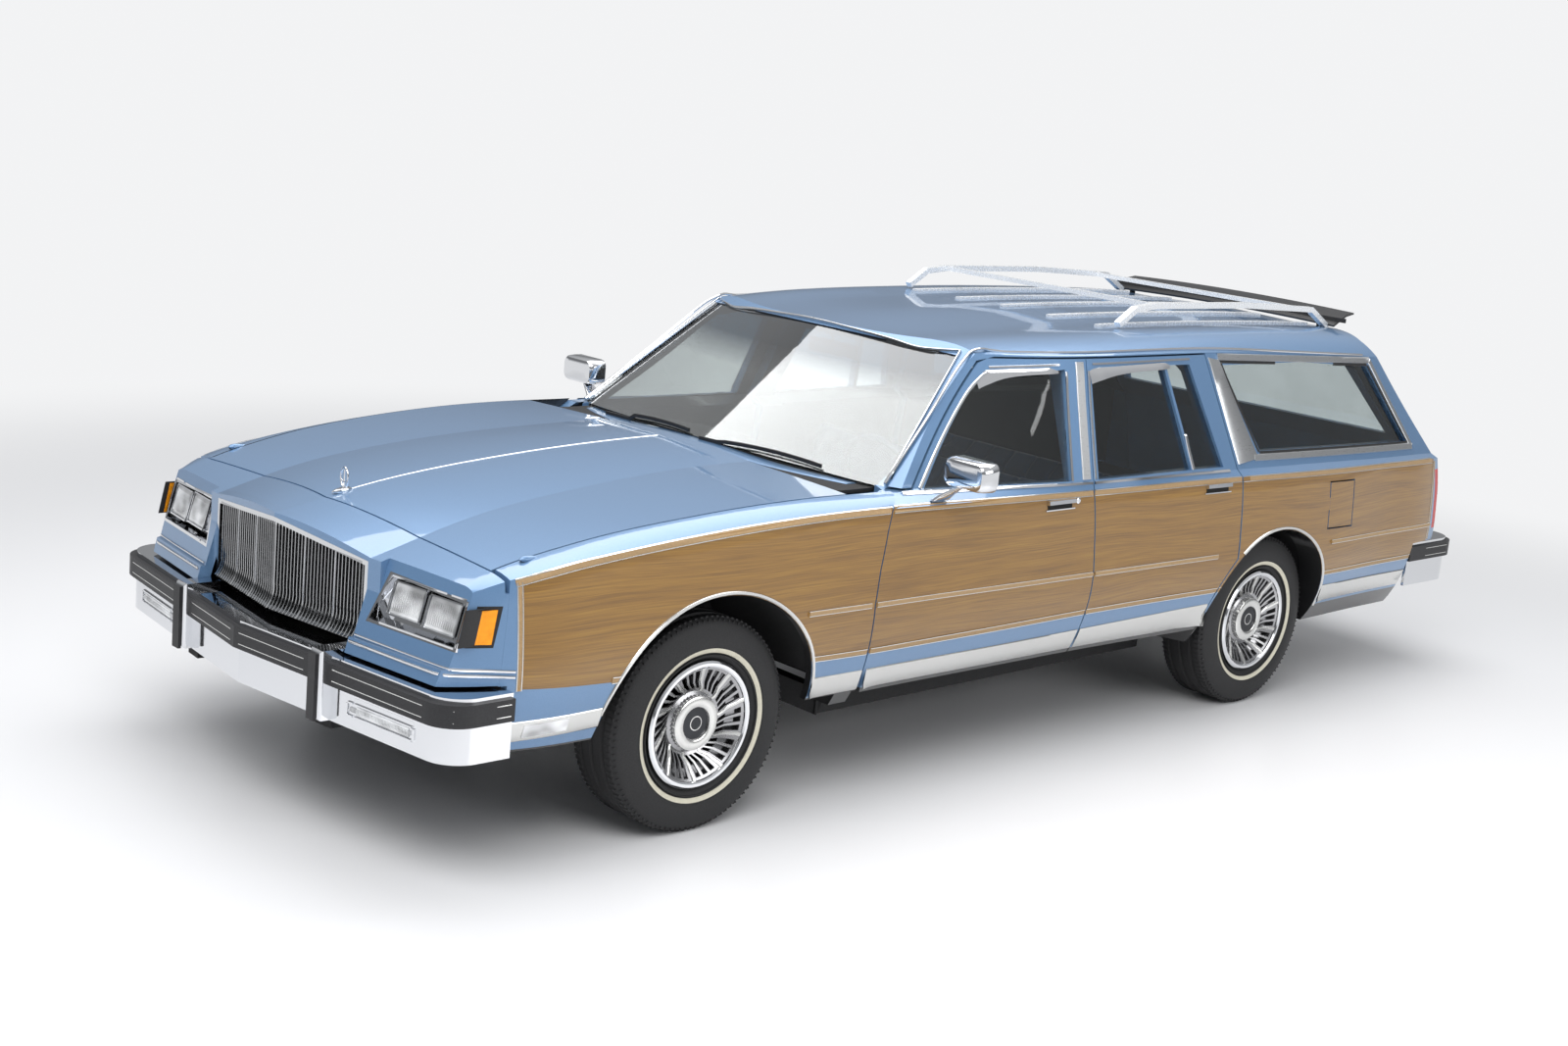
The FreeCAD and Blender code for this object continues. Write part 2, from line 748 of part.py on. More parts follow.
def raked(outline):
    # shift an outline measured on the skin so that a raked cut meets the skin there
    return [(y + door_rake_share * (half_width - surface_x(z)), z) for y, z in outline]


def raked_region(edge, forward):
    # all that lies ahead of, or behind, an edge drawn from low to high
    far = -half_length if forward else half_length
    low = edge[0][1] - overrun
    top = edge[-1][1] + overrun * 2
    line = raked(edge)
    line = [(line[0][0], low)] + line + [(line[-1][0], top)]
    return side_prism(line + [(far, top), (far, low)], half_width / 4, half_width + overrun,
                      door_rake_share)


def door_panel(outline, edges, windows):
    door = side_shell.common(side_prism(outline, half_width / 4, half_width + overrun))
    for edge, forward in edges:
        door = door.common(raked_region(edge, forward))
    for window in windows:
        door = door.cut(side_prism(list(window), half_width / 4, half_width + overrun))
    return door


def glass_layer():
    outside = cabin_hull(door_wall / 2, glass_inset, stretch_share)
    inside = cabin_hull(door_wall / 2 + glass_thickness, glass_inset + glass_thickness, stretch_share)
    return outside.cut(inside)


glass_skin = glass_layer()


def side_glass(windows):
    panes = []
    for window in windows:
        panes.append(glass_skin.common(side_prism(list(window), half_width / 4, half_width + overrun)))
    if len(panes) == 1:
        return panes[0]
    return Part.makeCompound([solid for pane in panes for solid in pane.Solids])


# inner posts and sill, inboard of the doors
post_gap = 12.0
b_post_half = 60.0
sill_low = 312.0
sill_high = 400.0
hinge_post_front = -1096.0
hinge_post_depth = 130.0
c_post_width = 120.0
arch_band = 50.0
door_half = 966.0
door_glass_low = 928.0
door_glass_high = 785.0
hinge_low = 500.0
hinge_high = 800.0
hinge_height = 50.0
strap_ahead = 44.0
strap_length = 24.0
strap_root = 16.0
pillar_root_x = 812.0


def inner_ring(out_low, in_low, out_high, in_high):
    return cabin_hull(out_low, out_high).cut(cabin_hull(in_low, in_high)).common(left_half)


def hinge_bands():
    bands = []
    for z in (hinge_low, hinge_high):
        bands.append(block(0, half_width, -half_length, half_length, z, z + hinge_height))
    return Part.makeCompound(bands)


def hinge_zone(gap):
    return side_prism([(hinge_post_front, sill_low), (hinge_post_front, frame_base_height)]
                      + [(y - gap, z) for y, z in a_line_places[::-1]]
                      + [(a_line_low - gap, sill_low)], 0, half_width)


def wheel_house_room(margin, outer):
    radius = rear_arch_radius + wheel_house_gap + floor_sheet + margin
    return cylinder_x(radius, wheel_house_inner - floor_sheet - margin, outer, rear_axle_place,
                      tyre_radius)


def make_posts():
    ring = inner_ring(door_wall + post_gap, door_wall + post_gap + inner_post_depth,
                      pillar_wall + post_gap, pillar_wall + post_gap + inner_post_depth)
    b_post = side_prism([(b_line - b_post_half, sill_low), (b_line + b_post_half, sill_low),
                         (b_line + b_post_half, belt_height), (b_line_top + b_post_half, frame_top),
                         (b_line_top + b_post_half, roof_height), (b_line_top - b_post_half, roof_height),
                         (b_line_top - b_post_half, frame_top), (b_line - b_post_half,
                                                                 belt_height)], 0, half_width)
    sill = block(0, half_width, hinge_post_front, rear_axle_place, sill_low, sill_high)
    band = cylinder_x(door_arch_radius + arch_band, 0, half_width, rear_axle_place, tyre_radius).common(
        block(0, half_width, 0, c_line + shut_gap * 5 + c_post_width, sill_low, roof_height))
    c_post = side_prism([(c_line - arch_band, door_arch_join),
                         (c_line + shut_gap * 5 + c_post_width, door_arch_join),
                         (c_line + shut_gap * 5 + c_post_width, belt_height + hood_wall),
                         (c_line_top + shut_gap * 3 + c_post_width / 2, frame_top),
                         (c_line_top + shut_gap * 3 + c_post_width / 2, roof_height),
                         (c_line_top - hood_wall, roof_height),
                         (c_line_top - hood_wall, frame_top), (c_line - arch_band,
                                                               belt_height)], 0, half_width)
    posts = ring.common(fused([b_post, sill, band, c_post]))
    root = inner_ring(door_wall - strap_root, door_wall + post_gap + strap_root,
                      pillar_wall - touch_gap * 2, pillar_wall + post_gap + touch_gap)
    root_zone = side_prism([(c_line + shut_gap * 5, door_arch_join),
                            (c_line + shut_gap * 5 + c_post_width, door_arch_join),
                            (c_line + shut_gap * 5 + c_post_width, belt_height + hood_wall),
                            (c_line_top + shut_gap * 3 + c_post_width / 2, frame_top),
                            (c_line_top + shut_gap * 5, frame_top), (c_line + shut_gap * 5,
                                                                     belt_height)], 0, half_width)
    posts = posts.fuse(root.common(root_zone))
    posts = posts.common(inner_cabin.translated(V(0, 0, -touch_gap)).fuse(
        side_prism([(c_line, 0), (c_line_top, belt_height), (c_line_top, frame_top - shut_gap * 5),
                    (half_length, frame_top - shut_gap * 5), (half_length, 0)], 0, half_width)))
    posts = posts.cut(wheel_house_room(touch_gap, half_width))
    strap_y = b_line + shut_gap + strap_ahead
    strap_ring = inner_ring(door_wall + touch_gap, door_wall + post_gap + strap_root,
                            pillar_wall + touch_gap, pillar_wall + post_gap + strap_root)
    strap = strap_ring.common(block(0, half_width, strap_y, strap_y + strap_length, sill_low,
                                    belt_height))
    return posts.fuse(strap.common(hinge_bands()))


def make_body_side():
    hinge_ring = cabin_hull(fender_wall + touch_gap,
                            0).cut(cabin_hull(fender_wall + hinge_post_depth, pillar_wall))
    hinge_ring = hinge_ring.common(left_half)
    hinge_post = hinge_ring.common(hinge_zone(shut_gap))
    hinge_blocks = hinge_ring.common(hinge_zone(touch_gap)).common(hinge_bands())
    a_zone = side_prism([(hinge_post_front - overrun, frame_base_height + shut_gap),
                         (frame_base_front - shut_gap, frame_base_height + shut_gap),
                         (frame_top_front - shut_gap, frame_top_front_height + shut_gap),
                         (frame_top_front, roof_height), (hinge_post_front - overrun, roof_height)],
                        0, half_width)
    fender_skin = outer_front.cut(front_hull(fender_wall + touch_gap, fender_wall + touch_gap)).common(
        block(0, half_width, -half_length, a_rear_place + touch_gap, 0, roof_height))
    upper = side_shell.common(left_half).common(a_zone)
    root_x = pillar_root_x - inner_post_depth
    shelf = block(root_x, pillar_root_x + hood_wall, a_rear_place, frame_base_front - shut_gap,
                  frame_base_height + shut_gap, frame_base_height + hood_wall)
    riser = block(root_x, pillar_root_x, a_rear_place, frame_base_front - shut_gap,
                  frame_base_height - overrun, frame_base_height + hood_wall)
    upper = fused([upper, shelf, riser]).cut(before_glass).cut(glass_hole).cut(roof_room)
    root = block(root_x, pillar_root_x, firewall_front + firewall_sheet + touch_gap,
                 frame_base_front - shut_gap,
                 frame_base_height - overrun, frame_base_height - overrun / 4)
    front = fused([hinge_post, hinge_blocks, upper, root]).cut(fender_skin)
    quarter_zone = raked_region(c_line_points(shut_gap), False)
    quarter = side_shell.common(left_half).common(quarter_zone).cut(roof_room).cut(behind_tail)
    quarter = quarter.cut(side_prism(list(quarter_window_places), 0, half_width + overrun))
    quarter = quarter.cut(block(0, half_width, bumper_rear_end - shut_gap, half_length, 0,
                                bumper_high + shut_gap))
    side = fused([front, make_posts(), quarter])
    return side.cut(arch_cut(rear_axle_place, rear_arch_radius, half_width / 2))


def make_roof():
    lip = cabin_hull(door_wall + post_gap, pillar_wall + post_gap, stretch_share).common(
        roof_zone.translated(V(0, 0, post_gap / 2 - pillar_wall)))
    roof = cabin_shell.common(roof_zone.fuse(lip))
    roof = roof.cut(before_glass).cut(glass_hole)
    return roof.cut(behind_tail)


# tailgate
tailgate_wall = 60.0
tailgate_half_low = 700.0
tailgate_half_belt = 776.0
tailgate_half_top = 640.0
tailgate_low = 566.0
tailgate_top = 1402.0
tail_window_low = 1030.0
tail_window_high = 1372.0
tail_window_edge = 46.0
tail_lamp_low = 640.0
tail_lamp_high = 902.0
tail_lamp_depth = 34.0
tail_lamp_width = 92.0


def tail_slab(ahead_from, ahead_to):
    outside = [(y - ahead_from, z) for y, z in tail_places]
    inside = [(y - ahead_to, z) for y, z in tail_places]
    return side_prism(outside + inside[::-1], -half_width, half_width)


def tailgate_outline(margin):
    right = [(tailgate_half_low + margin, tailgate_low - margin),
             (tailgate_half_belt + margin, belt_height),
             (tailgate_half_top + margin, tailgate_top + margin)]
    return right + [(-x, z) for x, z in right[::-1]]


def tail_window():
    low_half = tailgate_half_belt - tail_window_edge
    high_half = tailgate_half_top - tail_window_edge * tail_window_top_share
    return front_prism([(-low_half, tail_window_low), (low_half, tail_window_low),
                        (high_half, tail_window_high), (-high_half, tail_window_high)], 0, half_length)


def make_tailgate():
    gate = tail_slab(0, tailgate_wall).common(front_prism(tailgate_outline(0), 0, half_length))
    return gate.cut(tail_window())


def make_tail_frame():
    # body rear frame round the tailgate: header, sides and sill
    ring = tail_slab(0, tailgate_wall).common(cabin_hull(door_wall + touch_gap, pillar_wall + touch_gap))
    blocks = ring.cut(front_prism(tailgate_outline(touch_gap), 0, half_length)).common(hinge_bands())
    ring = ring.cut(front_prism(tailgate_outline(shut_gap), 0, half_length)).fuse(blocks)
    sill = frame_rear_height + frame_depth / 2 + touch_gap
    ring = ring.common(block(-half_width, half_width, 0, half_length, sill, roof_height))
    return ring


def make_tail_lamp():
    skin = outer_cabin.common(tail_slab(0, tail_lamp_depth))
    zone = block(half_width / 2, half_width, 0, half_length, tail_lamp_low, tail_lamp_high)
    outer = skin.common(zone).common(side_shell)
    return outer.cut(block(0, half_width - tail_lamp_width - door_wall, 0, half_length, 0, roof_height))



# floor, firewall and wheel houses
floor_height = 300.0
floor_half = 735.0
firewall_front = -1110.0
firewall_sheet = 30.0
toe_front = -1096.0
toe_rear = -860.0
kick_up_front = 790.0
kick_up_rear = 900.0
load_floor_height = 560.0
tail_floor_end = 2500.0
tunnel_radius = 166.0
tunnel_rear_radius = 74.0
tunnel_height = 368.0
tunnel_rear_height = 348.0
cowl_drop = 16.0
cowl_half = 764.0
wheel_house_gap = 14.0
wheel_house_inner = 636.0
wheel_house_outer = 880.0
liner_gap = 12.0
liner_inner = 478.0
liner_outer = 936.0
liner_low = 470.0
bumper_travel = 4.0


def tunnel_form(margin, reach):
    # tapered tunnel over gearbox and shaft
    start = V(0, firewall_front, tunnel_height)
    run = V(0, kick_up_rear, tunnel_rear_height) - start
    length = run.Length
    taper = (tunnel_radius - tunnel_rear_radius) / length * reach
    run.normalize()
    return Part.makeCone(tunnel_radius + margin + taper, tunnel_rear_radius + margin - taper,
                         length + reach * 2, start - run * reach, run)


def make_floor():
    path = [(toe_front, floor_height * 2), (toe_front, floor_height * toe_board_share),
            (toe_rear, floor_height),
            (kick_up_front, floor_height), (kick_up_rear, load_floor_height), (tail_floor_end,
                                                                               load_floor_height)]
    sheet = side_prism(sheet_outline(path, floor_sheet), -half_width, half_width)
    over_floor = side_prism([(firewall_front, roof_height),
                             (firewall_front, floor_height * tunnel_front_share), (toe_rear,
                                                                                   floor_height),
                             (kick_up_front, floor_height), (kick_up_rear, load_floor_height),
                             (kick_up_rear, roof_height)], -half_width, half_width)
    tunnel = tunnel_form(floor_sheet, 0).common(over_floor)
    firewall = block(-half_width, half_width, firewall_front, firewall_front + firewall_sheet,
                     floor_height * firewall_foot_share, roof_height)
    under_cowl = outer_front.translated(V(0, 0, -cowl_drop))
    firewall = firewall.common(under_cowl)
    whole = fused([sheet, tunnel, firewall]).cut(tunnel_form(0, overrun))
    inboard = cabin_hull(door_wall + post_gap + inner_post_depth + touch_gap, pillar_wall + post_gap)
    behind_c = c_line + shut_gap * 5 + c_post_width + touch_gap
    rear_inboard = cabin_hull(door_wall + touch_gap, pillar_wall + touch_gap)
    front_part = whole.common(inboard).common(block(-half_width, half_width, -half_length, behind_c, 0,
                                                    roof_height))
    rear_part = whole.common(rear_inboard).common(block(-half_width, half_width, behind_c, half_length,
                                                        0, roof_height))
    cowl_zone = block(-cowl_half, cowl_half, firewall_front, a_rear_place + overrun, 0, roof_height)
    under_sheet = outer_front.translated(V(0, 0, -cowl_drop - floor_sheet))
    cowl = under_cowl.cut(under_sheet).common(cowl_zone).cut(glass_room)
    brackets = []
    for side in (1, -1):
        x = side * hood_hinge_x
        brackets.append(block(x - strap_length, x + strap_length, firewall_front - overrun,
                              firewall_front + touch_gap,
                              belt_height - overrun * 2, roof_height))
    bracket = Part.makeCompound(brackets).common(outer_front.translated(V(0, 0, -hood_wall - touch_gap)))
    whole = fused([front_part, rear_part, cowl] + bracket.Solids)
    houses = []
    for side in (1, -1):
        house_out = wheel_house_room(0, half_width)
        house_in = cylinder_x(rear_arch_radius + wheel_house_gap, wheel_house_inner, half_width,
                              rear_axle_place, tyre_radius)
        low_cut = block(0, half_width, 0, half_length, -half_width, tyre_radius + overrun)
        house_out = house_out.cut(low_cut)
        if side < 0:
            house_out = mirrored(house_out)
            house_in = mirrored(house_in)
        houses.append(house_out.common(rear_inboard))
        whole = whole.cut(house_in)
        houses[-1] = houses[-1].cut(house_in)
    whole = fused([whole] + houses)
    return whole.cut(tail_slab(-overrun, tailgate_wall + touch_gap))


hood_hinge_x = 740.0


def make_front_liner():
    outer = cylinder_x(front_arch_radius + liner_gap + floor_sheet, liner_inner - floor_sheet,
                       liner_outer,
                       front_axle, tyre_radius)
    inner = cylinder_x(front_arch_radius + liner_gap, liner_inner, liner_outer + overrun, front_axle,
                       tyre_radius)
    low = block(0, half_width, front_axle - half_width, front_axle + half_width, -half_width, liner_low)
    liner = outer.cut(inner).cut(low)
    return liner.common(front_hull(fender_wall + touch_gap, fender_wall + touch_gap))


# separate frame and running gear
frame_depth = 84.0
frame_width = 76.0
frame_front = -2700.0
frame_rear = 2760.0
frame_height = 310.0
frame_front_height = 400.0
frame_rear_height = 478.0
frame_side_x = 640.0
frame_front_x = 390.0
frame_rear_x = 540.0
crossmember_depth = 70.0


def make_frame():
    rail_height = floor_height - touch_gap - frame_depth / 2
    places = [V(frame_front_x, frame_front, frame_front_height),
              V(frame_front_x, front_axle + frame_front_run, frame_front_height),
              V(frame_side_x, firewall_front + frame_bend_run, rail_height),
              V(frame_side_x - frame_side_taper, kick_up_front + frame_kick_run, rail_height),
              V(frame_rear_x, kick_up_rear + frame_arch_run, frame_rear_height),
              V(frame_rear_x, frame_rear, frame_rear_height)]
    rails = []
    for start, end in zip(places, places[1:]):
        run = end - start
        run.normalize()
        rails.append(beam(start - run * (frame_width / 3), end + run * (frame_width / 3), frame_width,
                          frame_depth))
    left = fused(rails)
    half = frame_front_x + frame_width / 4
    cross = [block(-half, half, front_axle - crossmember_half, front_axle + crossmember_half,
                   crossmember_top - crossmember_height, crossmember_top),
             beam(V(-half, frame_front + front_crossmember_set, frame_front_height),
                  V(half, frame_front + front_crossmember_set, frame_front_height),
                  crossmember_depth, frame_depth * crossmember_share),
             block(-frame_side_x, frame_side_x, gearbox_mount - mount_half, gearbox_mount + mount_half,
                   rail_height - frame_depth / 2, gear_height - gearbox_radius - touch_gap),
             beam(V(-frame_rear_x, rear_axle_place + spring_crossmember_set, frame_rear_height),
                  V(frame_rear_x, rear_axle_place + spring_crossmember_set,
                    frame_rear_height), spring_crossmember_width, crossmember_depth),
             beam(V(-frame_rear_x, frame_rear - rear_crossmember_set, frame_rear_height),
                  V(frame_rear_x, frame_rear - rear_crossmember_set,
                    frame_rear_height), rear_crossmember_width, crossmember_depth)]
    front = bumper_nose + bumper_wall + touch_gap
    rear = bumper_rear_face - bumper_wall - touch_gap
    front_side = front + bumper_vee_share * half_width
    rear_side = rear - bumper_rear_vee_share * half_width
    between = plan_prism([(0, front), (half_width, front_side), (half_width, rear_side), (0, rear),
                          (-half_width, rear_side), (-half_width, front_side)], 0, roof_height)
    return fused([left, mirrored(left)] + cross).common(between)


engine_half = 300.0
engine_sump_half = 150.0
engine_front = -2020.0
engine_rear = -1270.0
crossmember_top = 373.0
engine_low = crossmember_top + touch_gap
engine_head_low = 520.0
engine_top = 800.0
engine_cleaner_radius = 190.0
engine_cleaner_height = 80.0
gear_height = 372.0
gearbox_mount = -620.0
gearbox_radius = 100.0
bell_radius = 188.0
gearbox_rear = -520.0
shaft_radius = 38.0
shaft_height = 330.0
radiator_half = 350.0
radiator_depth = 60.0
radiator_front = -2500.0
radiator_low = frame_front_height + frame_depth / 2 + touch_gap
radiator_high = 850.0
axle_tube_radius = 38.0
axle_housing_radius = 140.0
axle_housing_half = 150.0
axle_shoulder_share = 0.86
spring_radius = 60.0
spring_x = 430.0
arm_height = 34.0
arm_width = 62.0
lower_arm_height = 284.0
upper_arm_height = 452.0
spring_half_gap = 6.0


def make_engine():
    # closed cast engine with its air cleaner, as one plain block
    sump = block(-engine_sump_half, engine_sump_half, engine_front, engine_rear, engine_low,
                 engine_head_low)
    heads = block(-engine_half, engine_half, engine_front, engine_rear, engine_head_low, engine_top)
    cleaner = Part.makeCylinder(engine_cleaner_radius, engine_cleaner_height,
                                V(0, (engine_front + engine_rear) / 2, engine_top))
    return sump.fuse(heads).fuse(cleaner)


def make_gearbox():
    bell = Part.makeCone(bell_radius, gearbox_radius, gearbox_radius * 3, V(0, engine_rear, gear_height),
                         along_y)
    case_start = engine_rear + gearbox_radius * 3
    case = Part.makeCylinder(gearbox_radius, gearbox_rear - case_start, V(0, case_start, gear_height),
                             along_y)
    tail = V(0, gearbox_rear, gear_height)
    nose = V(0, rear_axle_place - axle_housing_radius - touch_gap, tyre_radius)
    run = nose - tail
    shaft = Part.makeCylinder(shaft_radius, run.Length, tail, run)
    keep_out = block(-half_width, half_width, nose.y, half_length, 0, roof_height)
    return fused([bell, case, shaft]).cut(keep_out)


def make_radiator():
    core = block(-radiator_half, radiator_half, radiator_front, radiator_front + radiator_depth,
                 radiator_low, radiator_high)
    tie = block(-radiator_half - frame_width, radiator_half + frame_width, radiator_front,
                radiator_front + radiator_depth, radiator_low, radiator_low + radiator_depth)
    return core.fuse(tie)


def make_rear_axle():
    half = rear_track / 2
    tube_end = half - hub_half - touch_gap
    bulge = axle_housing_half
    casting = ring_profile([(-half - hub_reach, 0), (-half - hub_reach, spindle_radius),
                            (-tube_end, spindle_radius),
                            (-tube_end, axle_tube_radius), (-bulge, axle_tube_radius),
                            (-bulge / 2, axle_housing_radius * axle_shoulder_share),
                            (-bulge / 4, axle_housing_radius), (bulge / 4, axle_housing_radius),
                            (bulge / 2, axle_housing_radius * axle_shoulder_share), (bulge,
                                                                                     axle_tube_radius),
                            (tube_end, axle_tube_radius), (tube_end, spindle_radius), (half + hub_reach,
                                                                                       spindle_radius),
                            (half + hub_reach, 0)])
    casting.translate(V(0, rear_axle_place, tyre_radius))
    parts = [casting]
    for side in (1, -1):
        seat_top = load_floor_height - touch_gap
        parts.append(Part.makeCylinder(spring_radius, seat_top - tyre_radius,
                                       V(side * spring_x, rear_axle_place, tyre_radius)))
        parts.append(beam(V(side * (spring_x + arm_width), rear_axle_place,
                            tyre_radius - axle_tube_radius),
                          V(side * (spring_x + arm_width), trailing_arm_front,
                            tyre_radius - axle_tube_radius * 2),
                          arm_width * bracket_width_share, arm_height * bracket_height_share))
    return fused(parts)


hub_reach = 24.0
trailing_arm_front = 780.0
hub_half = 30.0
hub_inner = 34.0


def kingpin_place(side):
    return V(side * (front_track / 2 - kingpin_inset), front_axle, 0)


def make_front_arms():
    pieces = []
    inner_x = frame_front_x - frame_width / 4
    for side in (1, -1):
        pin = kingpin_place(side)
        low_end = V(pin.x, front_axle, lower_arm_height)
        high_end = V(pin.x, front_axle, upper_arm_height)
        for end, spread in ((low_end, arm_width), (high_end, arm_width * arm_spread_share)):
            foot = [V(side * inner_x, front_axle - spread, end.z),
                    V(side * inner_x, front_axle + spread, end.z)]
            legs = [beam(foot[0], end, arm_width * arm_leg_share, arm_height),
                    beam(foot[1], end, arm_width * arm_leg_share, arm_height)]
            eye = Part.makeCylinder(arm_width / 2, arm_height, V(end.x, end.y, end.z - arm_height / 2))
            pieces.append(fused(legs + [eye]))
    return Part.makeCompound([solid for piece in pieces for solid in piece.cut(frame).Solids])


def make_knuckle(side):
    pin = kingpin_place(side)
    low = lower_arm_height + arm_height / 2 + touch_gap
    high = upper_arm_height - arm_height / 2 - touch_gap
    post = Part.makeCylinder(kingpin_radius, high - low, V(pin.x, pin.y, low))
    wheel_x = front_track / 2
    stub_start = wheel_x - kingpin_inset
    stub = cylinder_x(spindle_radius, stub_start, wheel_x + hub_reach, front_axle, tyre_radius)
    shoulder = cylinder_x(spindle_radius * 2, stub_start, wheel_x - hub_half - touch_gap, front_axle,
                          tyre_radius)
    carrier = stub.fuse(shoulder)
    if side < 0:
        carrier = mirrored(carrier)
    return post.fuse(carrier)


# wheels
cover_radius = 206.0
cover_ring = 17.0
cover_face = 88.0
cover_plate = 6.0
cover_base = 42.0
cover_base_radius = 98.0
cover_spokes = 10
cover_slots_per_spoke = 3
cover_hub_radius = 86.0
cover_hub_face = 80.0
cover_cap_radius = 55.0
cover_cap_depth = 5.0
cover_slot_inner = 108.0
cover_slot_outer = 176.0
spoke_share = 0.20
vane_share = 0.34
vane_sweep_degrees = 14.0
vane_bend_share = 0.35
cover_lap = 4.0


def ring_profile(points):
    # revolve a closed (axial, radial) outline about the X axis
    base = Part.makePolygon([V(x, 0, r) for x, r in points + points[:1]])
    return Part.Face(base).revolve(origin, along_x, 360)


def make_wheel():
    well = rim_well_radius
    seat = rim_seat_radius
    flange = rim_flange_radius
    half = rim_half_width
    t = rim_sheet
    rim = ring_profile([
        (-half, flange), (-half, seat), (-half * seat_inner_share, seat),
        (-half * well_inner_share, well), (half * well_outer_share, well),
        (half * seat_outer_share, seat), (half, seat), (half, flange), (half - t, flange), (half - t,
                                                                                            seat - t),
        (half * seat_outer_share + t, seat - t), (half * well_outer_share + t,
                                                  well - t), (-half * well_inner_share - t, well - t),
        (-half * seat_inner_share - t, seat - t), (-half + t, seat - t), (-half + t, flange)])
    disc = ring_profile([(0, spindle_radius + hub_clearance), (0, well - t / 2), (t, well - t / 2),
                         (t, hub_radius), (hub_half, hub_radius), (hub_half,
                                                                   spindle_radius + hub_clearance)])
    inner_hub = ring_profile([(-hub_half, spindle_radius + hub_clearance), (-hub_half, hub_radius),
                              (t / 2, hub_radius),
                              (t / 2, spindle_radius + hub_clearance)])
    return fused([rim, disc, inner_hub, make_cover()])


def slot_corners(start, end):
    # one swept slot seen along the axle, between two angles at the hub
    sweep = math.radians(vane_sweep_degrees)
    middle_radius = cover_slot_inner + (cover_slot_outer - cover_slot_inner) * vane_bend_share
    rows = ((cover_slot_inner, 0), (middle_radius, sweep * (1 - vane_bend_share)),
            (cover_slot_outer, sweep))
    near = []
    far = []
    for radius, twist in rows:
        for angle, side in ((start + twist, near), (end + twist, far)):
            side.append(V(cover_base, radius * math.cos(angle), radius * math.sin(angle)))
    return near + far[::-1]


def make_cover():
    # turbine wheel cover: a dished plate of swept slots, a bright outer ring and a drum hub
    slots = []
    bay = math.radians(360 / cover_spokes)
    pitch = bay * (1 - spoke_share) / cover_slots_per_spoke
    for spoke in range(cover_spokes):
        for index in range(cover_slots_per_spoke):
            start = spoke * bay + bay * spoke_share + index * pitch
            corners = slot_corners(start, start + pitch * (1 - vane_share))
            slots.append(Part.Face(Part.makePolygon(corners + corners[:1])).extrude(V(cover_face, 0, 0)))
    seat_radius = rim_flange_radius - cover_ring - rim_sheet / 2
    cap_face = cover_hub_face - cover_cap_depth
    body = ring_profile([
        (cap_face, 0), (cap_face, cover_cap_radius), (cover_hub_face, cover_cap_radius),
        (cover_hub_face, cover_hub_radius), (cover_base + cover_plate * 3, cover_hub_radius),
        (cover_base + cover_plate * 2, cover_base_radius), (cover_face + cover_plate, seat_radius),
        (cover_face + cover_plate * 2, cover_radius - cover_plate), (rim_half_width + rim_sheet / 4,
                                                                     cover_radius),
        (rim_half_width - rim_sheet / 4, cover_radius), (rim_half_width - rim_sheet / 4,
                                                         seat_radius + cover_lap),
        (cover_face - cover_plate / 2, seat_radius - touch_gap), (cover_base,
                                                                  cover_base_radius - cover_plate),
        (cover_base, cover_hub_radius - cover_plate * 2),
        (cap_face - cover_plate, cover_hub_radius - cover_plate * 2), (cap_face - cover_plate, 0)])
    return body.cut(Part.makeCompound(slots))


tyre_profile_shares = ((0.62, 0), (0.84, 0.10), (0.96, 0.28), (1, 0.48), (0.98, 0.68), (0.91, 0.86),
                       (0.76, 1))


def make_tyre():
    # carcass with round shoulders and a flat tread
    half = tyre_width / 2
    rise = tyre_radius - tyre_inner_radius
    right = [(half * width_share, tyre_inner_radius + rise * height_share)
             for width_share, height_share in tyre_profile_shares]
    left = [(-x, radius) for x, radius in right[::-1]]
    return ring_profile(right + left)


# bumpers
bumper_low = 388.0
bumper_high = 580.0
bumper_wall = 12.0
bumper_corner = 105.0
bumper_half = 950.0
bumper_front_shelf = 185.0
bumper_rear_shelf = 200.0
bumper_side_shelf = 40.0
bumper_nose = -2780.0
bumper_vee_share = 0.118
bumper_front_end = -2462.0
bumper_rear_face = 2776.0
bumper_rear_end = 2345.0
bumper_rear_vee_share = 0.05
strip_low = 500.0
strip_high = 566.0
strip_stand = 20.0
guard_x = 405.0
guard_half = 30.0
guard_reach = 44.0
guard_shelf = 90.0
guard_high = 598.0
guard_round = 12.0
pad_half = 20.0
pad_depth = 10.0
pad_inset = 9.0
park_inner = 545.0
park_outer = 800.0
park_low = 424.0
park_high = 484.0


def bumper_form(nose, vee_share, end, half, corner, low, high):
    # solid with a V-shaped face and round corners; the face is at nose
    away = 1 if end > nose else -1
    side_y = nose + away * vee_share * half
    outline = [(0, nose), (half, side_y), (half, end), (-half, end), (-half, side_y)]
    form = plan_prism(outline, low, high)
    edges = [edge for edge in form.Edges
             if abs(edge.tangentAt(edge.FirstParameter).z) > 0.99
             and abs(abs(edge.Vertexes[0].X) - half) < touch_gap
             and abs(edge.Vertexes[0].Y - side_y) < touch_gap]
    return form.makeFillet(corner, edges)


def bumper_hollow(nose, vee_share, end, margin=0):
    away = 1 if end > nose else -1
    wall = bumper_wall + margin
    inner = bumper_form(nose + away * wall, vee_share, end + away * overrun, bumper_half - wall,
                        bumper_corner - wall, bumper_low - overrun, bumper_high - wall)
    shelf = bumper_front_shelf if away > 0 else bumper_rear_shelf
    open_top = bumper_form(nose + away * shelf, vee_share, end + away * overrun,
                           bumper_half - bumper_side_shelf,
                           bumper_corner - bumper_side_shelf, bumper_low - overrun, roof_height)
    return inner.fuse(open_top)


